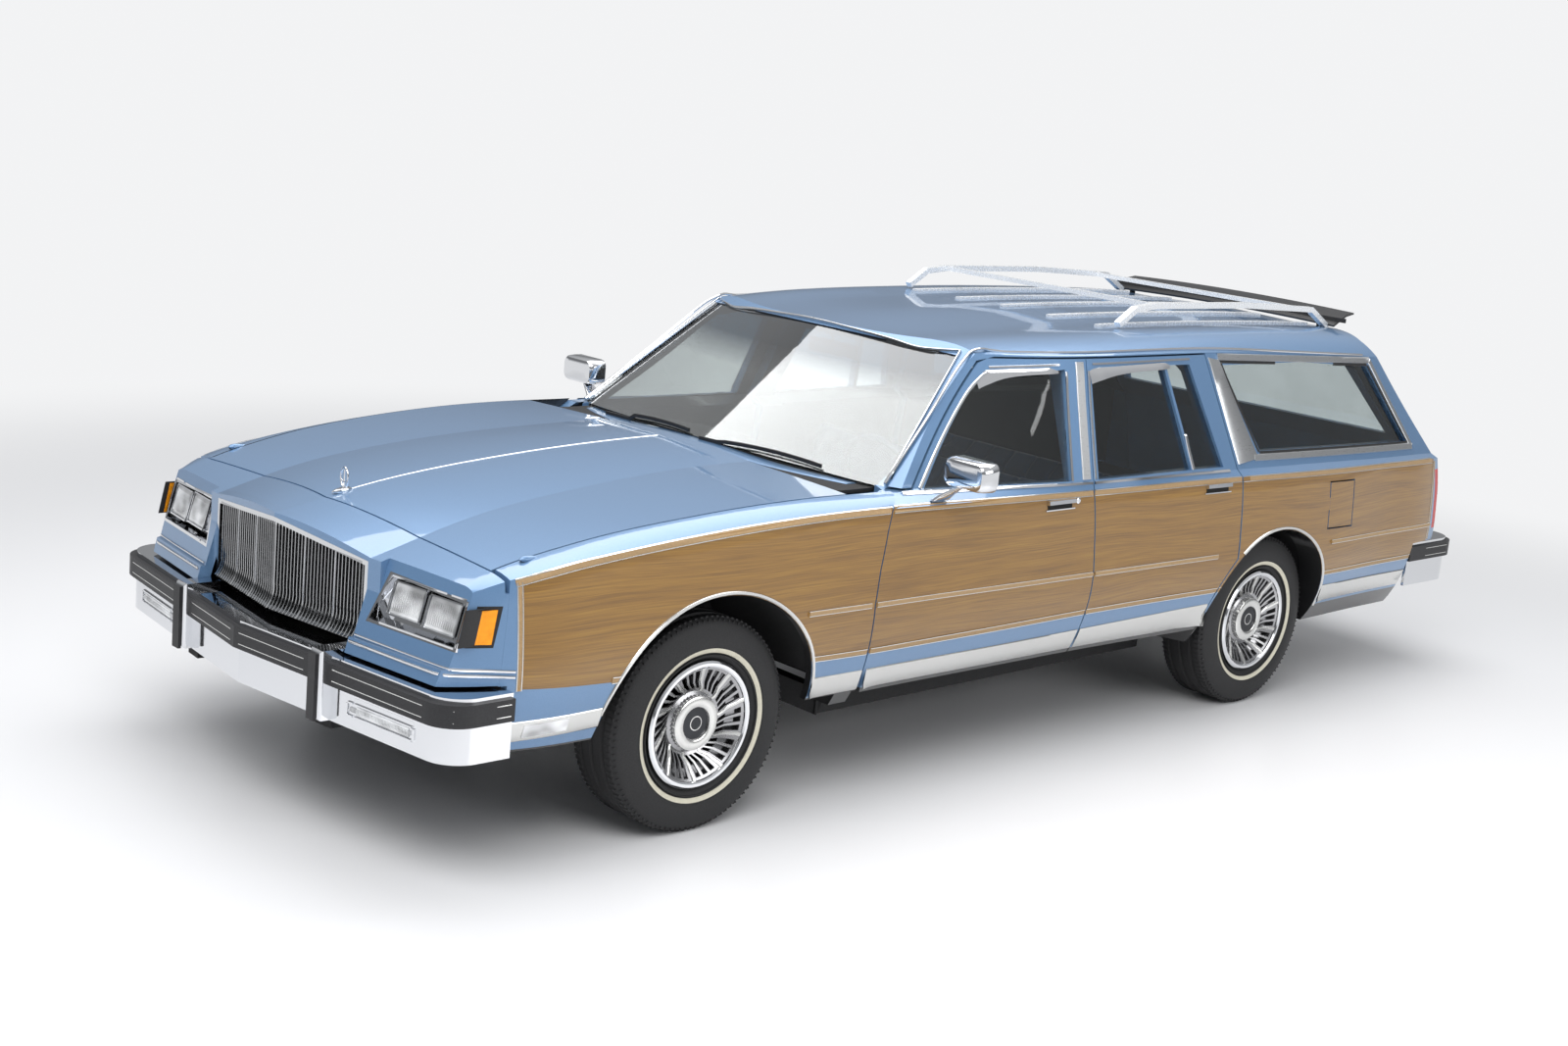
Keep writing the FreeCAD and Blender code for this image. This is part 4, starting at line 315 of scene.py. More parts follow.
def makeSidePaint():
    mat = newMaterial("bluePaintWithWood", paintLook["light"], paintLook["roughness"], Coat_Weight=1.0)
    place, side = separate(mat, addNode(mat, "TexCoord").outputs["Object"]), ownNormal(mat)
    x, y, z = (place[k] for k in "XYZ")
    outward = calc(mat, "ABSOLUTE", side["X"])
    wood = allOf(mat, calc(mat, "LESS_THAN", z, curveOfY(mat, y, woodTop)),
                 calc(mat, "GREATER_THAN", z, curveOfY(mat, y, woodLow)),
                 calc(mat, "GREATER_THAN", y, woodEnds["front"]), calc(mat, "LESS_THAN", y, woodEnds["rear"]),
                 calc(mat, "GREATER_THAN", calc(mat, "ABSOLUTE", x), woodEnds["inner"]),
                 calc(mat, "GREATER_THAN", outward, 0.55))
    # the turned-in edges of the wheel openings, the undersides and the inner faces are black
    arches = [calc(mat, "LESS_THAN", distanceFrom(mat, y, z, axle), reach) for axle,
              reach in blackParts["arches"]]
    turned = anyOf(mat, *arches, calc(mat, "LESS_THAN", side["Z"], -0.75))
    black = anyOf(mat, allOf(mat, turned, calc(mat, "LESS_THAN", outward, 0.6)),
                  calc(mat, "LESS_THAN", z, blackParts["low"]),
                  calc(mat, "LESS_THAN", calc(mat, "MULTIPLY", x, side["X"]), -0.25))
    color = blend(mat, wood, flakes(mat), makeWoodLook(mat))
    plain = calc(mat, "SUBTRACT", 1.0, anyOf(mat, wood, black))
    feed(mat, shaderOf(mat), {"Base Color": blend(mat, black, color, paintLook["black"]),
                              "Metallic": calc(mat, "MULTIPLY", plain, paintLook["metal"]),
                              "Roughness": remap(mat, wood, paintLook["roughness"], woodLook["roughness"])})
    return mat


def makeTailgatePaint():
    # the wood film goes on across the outside of the tailgate
    mat = newMaterial("tailgatePaint", paintLook["light"], 0.36, 0.2, Coat_Weight=1.0)
    place = separate(mat, objectCoords(mat))
    wood = allOf(mat, calc(mat, "GREATER_THAN", ownNormal(mat)["Y"], 0.5),
                 calc(mat, "LESS_THAN", calc(mat, "ABSOLUTE", place["X"]), tailgateWood["half"]),
                 calc(mat, "GREATER_THAN", place["Z"], tailgateWood["low"]),
                 calc(mat, "LESS_THAN", place["Z"], tailgateWood["high"]))
    feed(mat, shaderOf(mat), {"Base Color": blend(mat, wood, flakes(mat), makeWoodLook(mat, "X"))})
    return mat


def makeMetal(name, color, roughness, spread, scale=30.0, stretch=(1, 1, 1), metallic=1.0):
    mat = newMaterial(name, color, roughness, metallic)
    feed(mat, shaderOf(mat), {"Roughness": remap(mat, grain(mat, scale, 4.0, stretch), roughness,
                                                 roughness + spread)})
    return mat


def makeDull(name, color, roughness, scale=120.0, depth=0.0004, sheen=0.0, contrast=0.25):
    mat = newMaterial(name, color, roughness, Sheen_Weight=sheen)
    dark = tuple(c * (1 - contrast) for c in color)
    light = tuple(min(1, c * (1 + contrast)) for c in color)
    spots = grain(mat, scale, 4.0)
    bump = addNode(mat, "Bump", {"Height": spots, "Strength": 0.4, "Distance": depth}).outputs["Normal"]
    feed(mat, shaderOf(mat), {"Base Color": ramp(mat, spots, (0.3, dark), (0.7, light)), "Normal": bump})
    return mat


def makeGlass(name, color, band=None, coat=0.0):
    # see-through tinted glass; the windshield has a darker band along its top
    mat = newMaterial(name, color, 0.0, Transmission_Weight=1.0, IOR=1.5 + coat * 0.25, Coat_Weight=coat)
    base = ramp(mat, grain(mat, 3.0, 2.0), (0.3, tuple(c * 0.92 for c in color)), (0.7, color))
    if band:
        top = fromRange(mat, separate(mat, objectCoords(mat))["Z"], *band)
        base = blend(mat, top, base, (0.02, 0.06, 0.10, 1))
    feed(mat, shaderOf(mat), {"Base Color": base})
    return mat


def makeWheelMetal():
    # silver faces with dark steel behind them; the colour also darkens to near black the deeper it sits,
    # painted shade in the wheel's recesses
    mat = newMaterial("wheelMetal", (0.5, 0.5, 0.5), 0.2, 0.95)
    outward = calc(mat, "ABSOLUTE", separate(mat, objectCoords(mat))["X"])
    fine = grain(mat, 260.0, 2.0)
    # painted shade: the tone falls from silver at the outer face to near black 24 mm deeper
    tone = calc(mat, "ADD", calc(mat, "MULTIPLY", fromRange(mat, outward, 0.800, 0.824), 0.9),
                calc(mat, "MULTIPLY", fine, 0.08))
    shades = ((0.05, (0.02, 0.02, 0.022)), (0.45, (0.12, 0.12, 0.125)), (0.9, (0.40, 0.40, 0.41)))
    feed(mat, shaderOf(mat), {"Base Color": ramp(mat, tone, *shades),
                              "Roughness": remap(mat, fine, 0.18, 0.30)})
    return mat


def makeLens():
    # clear glass over a reflector, seen as patches of light and shade
    mat = newMaterial("ribbedLens", (0.6, 0.62, 0.64), 0.08, 0.55, Coat_Weight=1.0)
    shades = ((0.30, (0.40, 0.405, 0.41)), (0.5, (0.72, 0.73, 0.74)), (0.68, (0.92, 0.93, 0.94)))
    feed(mat, shaderOf(mat), {"Base Color": ramp(mat, grain(mat, 1.0, 1.0, (13.0, 13.0, 20.0)), *shades)})
    return mat


def makeGrilleMetal():
    # grey faces, bright sides and frame
    mat = newMaterial("grilleMetal", (0.6, 0.6, 0.62), 0.2, 1.0)
    place = separate(mat, objectCoords(mat))
    outward = calc(mat, "ABSOLUTE", place["X"])
    top = calc(mat, "SUBTRACT", 0.866, calc(mat, "MULTIPLY", outward, 0.045))
    dark = allOf(mat, calc(mat, "LESS_THAN", ownNormal(mat)["Y"], -0.9),
                 calc(mat, "LESS_THAN", place["Z"], top),
                 calc(mat, "LESS_THAN", outward, 0.412))
    fine = grain(mat, 200.0, 2.0, (4.0, 4.0, 0.4))
    tone = calc(mat, "ADD", calc(mat, "MULTIPLY", dark, 0.8), calc(mat, "MULTIPLY", fine, 0.15))
    shades = ((0.1, (0.74, 0.75, 0.76)), (0.9, (0.46, 0.465, 0.475)))
    feed(mat, shaderOf(mat), {"Base Color": ramp(mat, tone, *shades),
                              "Roughness": remap(mat, fine, 0.10, 0.24)})
    return mat


mats = {
    "paint": makePaint(),
    "sidePaint": makeSidePaint(),
    "tailgate": makeTailgatePaint(),
    "chrome": makeMetal("chrome", (0.74, 0.75, 0.77), 0.04, 0.06),
    "brushed": makeMetal("brushedSteel", (0.66, 0.67, 0.68), 0.22, 0.16, 1.0, (30.0, 30.0, 900.0)),
    "underside": makeDull("undersideBlack", (0.012, 0.012, 0.013), 0.75),
    "cast": makeDull("castMetal", (0.06, 0.06, 0.065), 0.6),
    "tyre": makeDull("tyreRubber", (0.016, 0.016, 0.017), 0.62, 240.0),
    "rubber": makeDull("blackRubber", (0.018, 0.018, 0.02), 0.48, 300.0, 0.0002),
    "glass": makeGlass("tintedGlass", (0.74, 0.79, 0.79)),
    "windshield": makeGlass("windshieldGlass", (0.80, 0.86, 0.85), band=(1.27, 1.36), coat=1.0),
    "lens": makeLens(),
    "mirrorGlass": makeMetal("mirrorGlass", (0.75, 0.78, 0.80), 0.02, 0.02),
    "satin": makeMetal("satinSteel", (0.70, 0.70, 0.685), 0.18, 0.10, 1.0, (40.0, 12.0, 600.0)),
    "rack": makeMetal("rackSteel", (0.82, 0.83, 0.84), 0.22, 0.10, 60.0, metallic=0.45),
    "graphite": makeMetal("graphitePaint", (0.055, 0.057, 0.062), 0.32, 0.08, 400.0),
    "maple": makeDull("mapleBand", (0.36, 0.235, 0.115), 0.40, 160.0, 0.0001, contrast=0.12),
    # near-black painted shade for the handle recesses and the sheet behind the grille bars
    "gap": makeDull("shadowBlack", (0.006, 0.006, 0.006), 0.85),
    "trimBlack": makeDull("satinBlack", (0.016, 0.016, 0.017), 0.38, 300.0, 0.0001),
    "whitewall": makeDull("whitewall", (0.60, 0.57, 0.46), 0.5, 90.0, 0.0001, contrast=0.05),
    "plate": makeDull("blankPlate", (0.50, 0.51, 0.52), 0.4, 60.0, 0.0001, contrast=0.06),
    "wheelMetal": makeWheelMetal(),
    "grille": makeGrilleMetal(),
    "amber": makeDull("amberLens", (0.85, 0.30, 0.01), 0.12, 60.0, 0.0002, contrast=0.1),
    "red": makeDull("redLens", (0.45, 0.01, 0.012), 0.12, 60.0, 0.0002, contrast=0.1),
    "blueTrim": makeDull("bluePlastic", (0.030, 0.055, 0.11), 0.55, 400.0, 0.0002),
    "blueCloth": makeDull("blueCloth", (0.035, 0.07, 0.15), 0.85, 700.0, 0.0006, 0.4),
    "exhaust": makeMetal("exhaustSteel", (0.30, 0.29, 0.28), 0.45, 0.15),
}

# a name that ends in _both stands for the left and the right node
nodeMaterials = {
    "sidePaint": "body_side_both fender_both door_front_both door_rear_both fuel_door",
    "paint": "roof_panel tail_frame header_panel hood",
    "tailgate": "tailgate",
    "trimBlack": "side_markers",
    "underside": "floor_pan inner_fenders frame rear_axle front_arms fuel_tank radiator air_deflector",
    "cast": "engine gearbox knuckle_both",
    "chrome": "headlamps parking_lamps front_bumper rear_bumper mirror_both",
    "rack": "roof_rack",
    "wheelMetal": "wheel_front_both wheel_rear_both",
    "rubber": "front_bumper_strip rear_bumper_strip",
    "tyre": "tyre_front_both tyre_rear_both",
    "grille": "grille",
    "glass": "glass_front_both glass_rear_both quarter_glass tailgate_glass",
    "windshield": "windshield",
    "red": "tail_lamps",
    "blueTrim": "dashboard steering_wheel",
    "blueCloth": "front_seat rear_seat",
    "exhaust": "exhaust",
}

for key, names in nodeMaterials.items():
    for name in names.split():
        for side in ("left", "right"):
            for slot in nodes[name.replace("both", side)].material_slots:
                slot.material = mats[key]
print("materials done")


# building blocks: pieces are gathered in piles of closed lofts, one pile for each body they ride
piles = {}
skins = {}
directions = {"side": (Vector((-1, 0, 0)), 1, 2), "top": (Vector((0, 0, -1)), 0, 1),
              "front": (Vector((0, 1, 0)), 0, 2), "back": (Vector((0, -1, 0)), 0, 2)}
layLook = {"buried": 0.0012, "step": 0.015, "evenPasses": 4}


def skin(name):
    if name not in skins:
        mesh = nodes[name].data
        skins[name] = BVHTree.FromPolygons([v.co for v in mesh.vertices],
                                           [tuple(p.vertices) for p in mesh.polygons])
    return skins[name]


def newPile():
    return {"verts": [], "faces": [], "mats": [], "names": []}


def pileOf(name, body):
    return piles.setdefault((name, body), newPile())


def matIndex(pile, mat):
    if mat not in pile["names"]:
        pile["names"].append(mat)
    return pile["names"].index(mat)


def loft(pile, rings, mat, closed=False):
    # rings of points joined in turn; mat is one name or one for each side of the ring
    base, count = len(pile["verts"]), len(rings[0])
    kinds = [mat] * count if isinstance(mat, str) else mat
    for ring in rings:
        pile["verts"].extend(tuple(p) for p in ring)
    for i in range(len(rings) if closed else len(rings) - 1):
        a, b = base + i * count, base + (i + 1) % len(rings) * count
        for j in range(count):
            k = (j + 1) % count
            pile["faces"].append((a + j, a + k, b + k, b + j))
            pile["mats"].append(matIndex(pile, kinds[j]))
    if not closed:
        for start in (base, base + (len(rings) - 1) * count):
            pile["faces"].append(tuple(range(start, start + count)))
            pile["mats"].append(matIndex(pile, kinds[0]))


def project(look, point, names):
    # the nearest hit on the named skins as (place, name, distance), looked at from outside
    toward, first, second = directions[look]
    start = -4 * toward
    start[first] += point[0]
    start[second] += point[1]
    best = None
    for name in names:
        hit = skin(name).ray_cast(start, toward)
        if hit[0] is not None and (best is None or hit[3] < best[2]):
            best = (hit[0], name, hit[3])
    return best


def rounded(points, step):
    # a smooth curve through the points, sampled evenly
    pts = [Vector(p) for p in points]
    ends = [pts[0] * 2 - pts[1]] + pts + [pts[-1] * 2 - pts[-2]]
    out = []
    for i in range(len(pts) - 1):
        p0, p1, p2, p3 = ends[i:i + 4]
        count = max(1, round((p2 - p1).length / step))
        for k in range(count):
            t = k / count
            out.append(0.5 * (2 * p1 + (p2 - p0) * t + (2 * p0 - 5 * p1 + 4 * p2 - p3) * t * t
                              + (3 * p1 - p0 - 3 * p2 + p3) * t ** 3))
    return out + [pts[-1]]


def straight(points, step):
    out = []
    for a, b in zip(points, points[1:]):
        a, b = Vector(a), Vector(b)
        count = max(1, round((b - a).length / step))
        out += [a.lerp(b, k / count) for k in range(count)]
    return out + [Vector(points[-1])]


def smoothed(points, passes):
    for _ in range(passes):
        points = points[:1] + [(a + b * 2 + c) / 4 for a, b,
                               c in zip(points, points[1:], points[2:])] + points[-1:]
    return points


def stripRows(points, width, shares=(-0.5, -0.36, 0.36, 0.5)):
    rows = []
    for i, p in enumerate(points):
        along = (points[min(i + 1, len(points) - 1)] - points[max(i - 1, 0)]).normalized()
        across = Vector((-along.y, along.x)) * width
        rows.append([p + across * s for s in shares])
    return rows


def bandRows(edgeA, edgeB, count, shares=(0, 0.04, 0.5, 0.96, 1)):
    # rows between two straight edges
    rows = []
    for i in range(count + 1):
        a, b = (Vector(edge[0]).lerp(Vector(edge[1]), i / count) for edge in (edgeA, edgeB))
        rows.append([a.lerp(b, s) for s in shares])
    return rows


def evenOut(rings, look):
    # smooths the depth of neighbouring rings, so that facets of the skin don't show in bright bands
    axis = next(k for k in range(3) if directions[look][0][k])
    for _ in range(layLook["evenPasses"]):
        depths = [[p[axis] for p in ring] for ring in rings]
        for i in range(1, len(rings) - 1):
            for j, p in enumerate(rings[i]):
                p[axis] = depths[i][j] / 2 + (depths[i - 1][j] + depths[i + 1][j]) / 4


def layRing(look, row, owner, height, edge):
    # one row of a raised band, its two ends sunk into the skin; points off the skin follow the middle
    toward, first, second = directions[look]
    centre = (row[0] + row[-1]) / 2
    middle = project(look, centre, (owner,))
    if middle is None:
        return None
    ring, ends = [], []
    for i, p in enumerate(row):
        hit = project(look, p, (owner,))
        if hit is None or abs((hit[0] - middle[0]).dot(toward)) > layLook["step"] + (p - centre).length:
            q = middle[0].copy()
            q[first], q[second] = p[0], p[1]
        else:
            q = hit[0]
        outer = i in (0, len(row) - 1)
        ring.append(q - toward * height * (edge if outer else 1))
        if outer:
            ends.append(q + toward * layLook["buried"])
    return [ends[0]] + ring + [ends[1]]


def lay(look, rows, height, mat, names, piece="Trim", keep=8, edge=0.4):
    # a raised band over the frame's surface, split where the surface changes owner
    runs = []
    for row in rows:
        hit = project(look, (row[0] + row[-1]) / 2, names)
        owner = hit[1] if hit else None
        if not runs or runs[-1][0] != owner:
            runs.append((owner, []))
        runs[-1][1].append(row)
    for owner, run in runs:
        if owner is None or len(run) < 4:
            continue
        chosen = run[1:-2:keep] + [run[-2]]
        if len(chosen) < 2:
            continue
        rings = [ring for ring in (layRing(look, row, owner, height, edge) for row in chosen) if ring]
        evenOut(rings, look)
        if len(rings) > 1:
            body = nodes[owner]["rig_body"]
            loft(pileOf(body.replace("_left", "") + piece, body), rings, mat)


def strip(look, run, width, height, mat, names, piece="Trim", step=0.004, shares=(-0.5, -0.36, 0.36, 0.5),
          **more):
    # a raised strip along a run of straight lines
    lay(look, stripRows(straight(run, step), width, shares), height, mat, names, piece, **more)


def sweep(pile, path, section, mat, up=(0, 0, 1), closed=False):
    rings = []
    path = [Vector(p) for p in path]
    for i, p in enumerate(path):
        before = path[i - 1] if i or closed else p
        after = path[(i + 1) % len(path)] if closed or i < len(path) - 1 else p
        along = (after - before).normalized()
        side = along.cross(Vector(up)).normalized()
        lift = side.cross(along)
        rings.append([p + side * u + lift * v for u, v in section])
    loft(pile, rings, mat, closed)


def oval(width, height, count=10):
    return [(width / 2 * math.cos(math.tau * k / count), height / 2 * math.sin(math.tau * k / count))
            for k in range(count)]


def softRect(width, height, radius, steps=3):
    out = []
    for cx, cy, start in ((1, 1, 0), (-1, 1, 90), (-1, -1, 180), (1, -1, 270)):
        for k in range(steps + 1):
            turn = math.radians(start + 90 * k / steps)
            out.append((cx * (width / 2 - radius) + radius * math.cos(turn),
                        cy * (height / 2 - radius) + radius * math.sin(turn)))
    return out


def softBlock(pile, low, high, radius, mat, axis=2):
    # a rounded block built in layers along one axis
    low, high = Vector(low), Vector(high)
    a, b = [k for k in range(3) if k != axis]
    middle, size = (low + high) / 2, high - low
    rings = []
    for end, sign in ((low, 1), (high, -1)):
        layers = [(radius * share, radius * inset) for share, inset in ((0, 0.8), (0.3, 0.2), (1, 0))]
        for depth, inset in layers[::sign]:
            ring = []
            for u, v in softRect(size[a] - 2 * inset, size[b] - 2 * inset, max(radius - inset * 0.5, 0.0005)):
                p = middle.copy()
                p[a] += u
                p[b] += v
                p[axis] = end[axis] + sign * depth
                ring.append(p)
            rings.append(ring)
    loft(pile, rings, mat)


def spin(pile, profile, centre, mat, count=64, axis="x"):
    # profile of (distance from the axis, place along it), closed on itself
    rings = []
    for k in range(count):
        c, s = math.cos(math.tau * k / count), math.sin(math.tau * k / count)
        rings.append([Vector(centre) + Vector((h, r * c, r * s) if axis == "x" else (r * c, r * s, h))
                      for r, h in profile])
    loft(pile, rings, mat, closed=True)


def makePiece(name, pile, body, replaced=(), mirror=False):
    mesh = bpy.data.meshes.new(name)
    mesh.from_pydata([(-x, y, z) if mirror else (x, y, z) for x, y, z in pile["verts"]], [], pile["faces"])
    for key in pile["names"]:
        mesh.materials.append(mats[key])
    mesh.polygons.foreach_set("material_index", pile["mats"])
    bm = bmesh.new()
    bm.from_mesh(mesh)
    bmesh.ops.remove_doubles(bm, verts=bm.verts, dist=0.000002)
    bmesh.ops.recalc_face_normals(bm, faces=bm.faces)
    bm.to_mesh(mesh)
    bm.free()
    mesh.shade_smooth()
    mesh.set_sharp_from_angle(angle=math.radians(35))
    obj = bpy.data.objects.new(name, mesh)
    scene.collection.objects.link(obj)
    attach(obj, body)
    if replaced:
        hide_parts(*replaced)


def makeRingTree():
    # geometry nodes: copies of the input geometry turned about the x axis, realized, with one material
    tree = bpy.data.node_groups.new("repeatOnRing", "GeometryNodeTree")
    for name, kind in (("Geometry", "Geometry"), ("Count", "Int"), ("Material", "Material")):
        tree.interface.new_socket(name, in_out="INPUT", socket_type="NodeSocket" + kind)
    tree.interface.new_socket("Geometry", in_out="OUTPUT", socket_type="NodeSocketGeometry")
    given, out, line, index, share, whole, turn, spread, realize, paint = (tree.nodes.new(kind) for kind in (
        "NodeGroupInput", "NodeGroupOutput", "GeometryNodeMeshLine", "GeometryNodeInputIndex",
        "ShaderNodeMath",
        "ShaderNodeMath", "ShaderNodeCombineXYZ", "GeometryNodeInstanceOnPoints",
        "GeometryNodeRealizeInstances",
        "GeometryNodeSetMaterial"))
    line.inputs["Offset"].default_value = (0, 0, 0)
    share.operation, whole.operation = "DIVIDE", "MULTIPLY"
    whole.inputs[1].default_value = math.tau
    for source, target in (
            (given.outputs["Count"], line.inputs["Count"]), (line.outputs["Mesh"], spread.inputs["Points"]),
            (index.outputs[0], share.inputs[0]), (given.outputs["Count"], share.inputs[1]),
            (share.outputs[0], whole.inputs[0]), (whole.outputs[0], turn.inputs["X"]),
            (turn.outputs[0], spread.inputs["Rotation"]),
            (given.outputs["Geometry"], spread.inputs["Instance"]),
            (spread.outputs["Instances"], realize.inputs["Geometry"]),
            (realize.outputs["Geometry"], paint.inputs["Geometry"]),
            (given.outputs["Material"], paint.inputs["Material"]),
            (paint.outputs["Geometry"], out.inputs["Geometry"])):
        tree.links.new(source, target)
    return tree


ringTree = makeRingTree()


def bakedMesh(obj):
    # the mesh as the object's modifiers leave it
    return bpy.data.meshes.new_from_object(obj.evaluated_get(bpy.context.evaluated_depsgraph_get()))


def repeat(pile, unit, mat, count, centre):
    # unit is drawn about the origin and turned about the x axis
    mesh = bpy.data.meshes.new("unit")
    mesh.from_pydata(unit["verts"], [], unit["faces"])
    obj = bpy.data.objects.new("unit", mesh)
    scene.collection.objects.link(obj)
    modifier = obj.modifiers.new("repeat", "NODES")
    modifier.node_group = ringTree
    values = {"Count": count, "Material": mats[mat]}
    for item in ringTree.interface.items_tree:
        if item.in_out == "INPUT" and item.name in values:
            modifier[item.identifier] = values[item.name]
    obj.update_tag()
    made = bakedMesh(obj)
    base = len(pile["verts"])
    pile["verts"] += [tuple(v.co + centre) for v in made.vertices]
    pile["faces"] += [tuple(base + k for k in p.vertices) for p in made.polygons]
    pile["mats"] += [matIndex(pile, mat)] * len(made.polygons)
    bpy.data.objects.remove(obj)
    bpy.data.meshes.remove(made)


# side trim, laid over the skins of the left side; the right side is its mirror image
doorSkins = ("door_front_left", "door_rear_left")
cabinSkin = ("body_side_left",)
sideSkins = ("fender_left", *doorSkins, *cabinSkin)
sideTrim = {"borderWidth": 0.020, "borderHeight": 0.0022, "edgeWidth": 0.0035, "edgeHeight": 0.0035,
            "endWidth": 0.014, "endHeight": 0.002, "middleWidth": 0.015, "middleHeight": 0.006, "step": 0.004,
            "beltWidth": 0.011, "beltHeight": 0.005, "archWidth": 0.013, "archHeight": 0.006,
            "archOut": 0.008}
middleRuns = (((-1.352, 0.684), (-1.049, 0.681), (0.088, 0.670), (0.835, 0.671)),
              ((1.612, 0.664), (2.47, 0.660)))
beltRun = ((-0.885, 1.022), (-0.60, 1.016), (-0.05, 1.005), (0.50, 1.001), (0.90, 0.998))
# bands under the wood film, each from its upper to its lower edge
lowBands = ((((-1.296, 0.457), (-1.105, 0.452), (-0.053, 0.453), (0.740, 0.472), (0.86, 0.474)),
             ((-1.296, 0.376), (-1.081, 0.376), (-0.053, 0.376), (0.740, 0.378), (0.86, 0.378))),
            (((1.62, 0.470), (2.46, 0.464)), ((1.62, 0.392), (2.46, 0.392))),
            (((-2.44, 0.470), (-2.12, 0.480)), ((-2.44, 0.404), (-2.12, 0.416))))


def edged(points, width, height):
    # a tan band between two bright lines
    lay("side", stripRows(points, width), height, "maple", sideSkins)
    for side in (-1, 1):
        edge = [row[0] for row in stripRows(points, width, (side * 0.5, side * 0.5))]
        lay("side", stripRows(edge, sideTrim["edgeWidth"]), sideTrim["edgeHeight"], "satin", sideSkins)


def archPoints(name, centre, start=-5, end=185, count=90, nearest=0.30, farthest=0.60, halvings=14):
    # the edge of a wheel opening, found on the skin
    points = []
    for k in range(count + 1):
        turn = math.radians(start + (end - start) * k / count)
        low, high = nearest, farthest
        ray = Vector((math.cos(turn), math.sin(turn)))
        for _ in range(halvings):
            r = (low + high) / 2
            hit = project("side", centre + ray * r, (name,))
            if hit and hit[0].x > 0.92:
                high = r
            else:
                low = r
        if high < farthest - 0.01:
            points.append(centre + ray * (high + sideTrim["archOut"]))
    return points


def wheelMiddle(name):
    low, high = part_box(name)
    return (low + high) / 2


def makeSideTrim():
    width, height, step = sideTrim["borderWidth"], sideTrim["borderHeight"], sideTrim["step"]
    edged(rounded([(y, z - 0.008) for y, z in woodTop[1:-1]], step), width, height)
    edged(rounded([(y, z + 0.006) for y, z in woodLow[1:]], step), width * 0.9, height)
    front, rear = woodEnds["front"], woodEnds["rear"]
    for run in (((front, 0.565), (front - 0.004, 0.885)), ((rear, 0.526), (rear, 0.945))):
        edged(straight(run, step), sideTrim["endWidth"], sideTrim["endHeight"])
    for run in middleRuns:
        edged(rounded(run, step), sideTrim["middleWidth"], sideTrim["middleHeight"])
    lay("side", stripRows(rounded(beltRun, step), sideTrim["beltWidth"]), sideTrim["beltHeight"], "chrome",
        doorSkins)
    for top, low in lowBands:
        rows = [[a.lerp(b, s) for s in (0, 0.05, 0.12, 0.5, 0.95, 1)]
                for a, b in zip(rounded(top, step), rounded(low, step))]
        lay("side", rows, 0.004, "satin", sideSkins)
    for name, end in (("fender_left", "front"), ("body_side_left", "rear")):
        axle = wheelMiddle("tyre_" + end + "_left")
        rows = stripRows(archPoints(name, Vector((axle.y, axle.z))), sideTrim["archWidth"],
                         (-0.5, -0.3, 0.3, 0.5))
        lay("side", rows, sideTrim["archHeight"], "satin", (name,), keep=2)


# window surrounds: bright lines over the door frames, brushed bands on the pillars
windowLines = (((-0.786, 1.026), (-0.435, 1.330), (-0.366, 1.375), (-0.344, 1.382)),
               ((-0.044, 1.012), (0.006, 1.390)), ((0.080, 1.012), (0.120, 1.392)),
               ((-0.34, 1.400), (-0.02, 1.410)), ((0.14, 1.411), (0.73, 1.416)))
rearLine = ((0.668, 1.012), (0.584, 1.398))
pillarBand = (((0.010, 1.012), (0.058, 1.424)), ((0.052, 1.012), (0.098, 1.424)))
rearPillar = (((0.962, 1.012), (0.846, 1.424)), ((1.104, 1.028), (0.916, 1.412)))
gasketCorners = ((0.922, 1.401), (2.024, 1.357), (2.290, 1.026), (1.112, 1.052), (0.922, 1.401))
frameCorners = ((0.905, 1.420), (2.040, 1.376), (2.316, 1.010), (1.070, 1.036))
windowTrim = {"lineWidth": 0.009, "rearWidth": 0.016, "frameWidth": 0.026, "frameHeight": 0.005,
              "gasketWidth": 0.012, "gasketHeight": 0.0015, "height": 0.004}


def makeWindowTrim():
    height = windowTrim["height"]
    for run in windowLines:
        strip("side", run, windowTrim["lineWidth"], height, "chrome", doorSkins)
    for band, names in ((pillarBand, doorSkins[:1]), (rearPillar, cabinSkin)):
        lay("side", bandRows(*band, 80), height, "brushed", names)
    for run in zip(frameCorners, frameCorners[1:]):
        strip("side", run, windowTrim["frameWidth"], windowTrim["frameHeight"], "brushed", cabinSkin,
              shares=(-0.5, -0.4, -0.3, 0.3, 0.4, 0.5))
    for run in zip(gasketCorners, gasketCorners[1:]):
        strip("side", run, windowTrim["gasketWidth"], windowTrim["gasketHeight"], "trimBlack", cabinSkin)
    strip("side", rearLine, windowTrim["rearWidth"], height, "chrome", doorSkins[1:])


# drip rail over the doors, and bright edges along the top and side of the windshield
gutterRun = ((0.806, -0.895, 1.040), (0.742, -0.65, 1.240), (0.680, -0.40, 1.444), (0.722, -0.25, 1.449),
             (0.786, 0.08, 1.449), (0.800, 0.84, 1.450), (0.803, 1.45, 1.425), (0.802, 1.99, 1.398))
windshieldRuns = ((((0.0, -0.498), (0.20, -0.493), (0.42, -0.470), (0.55, -0.440), (0.634, -0.402)),
                   (0.004, 0.016, 0.0015)),
                  (((0.802, -0.884), (0.722, -0.640), (0.640, -0.400)), (0.006, 0.018, 0.002)))
railLook = {"step": 0.02, "out": 0.002, "reach": 0.05, "width": 0.012, "height": 0.010}


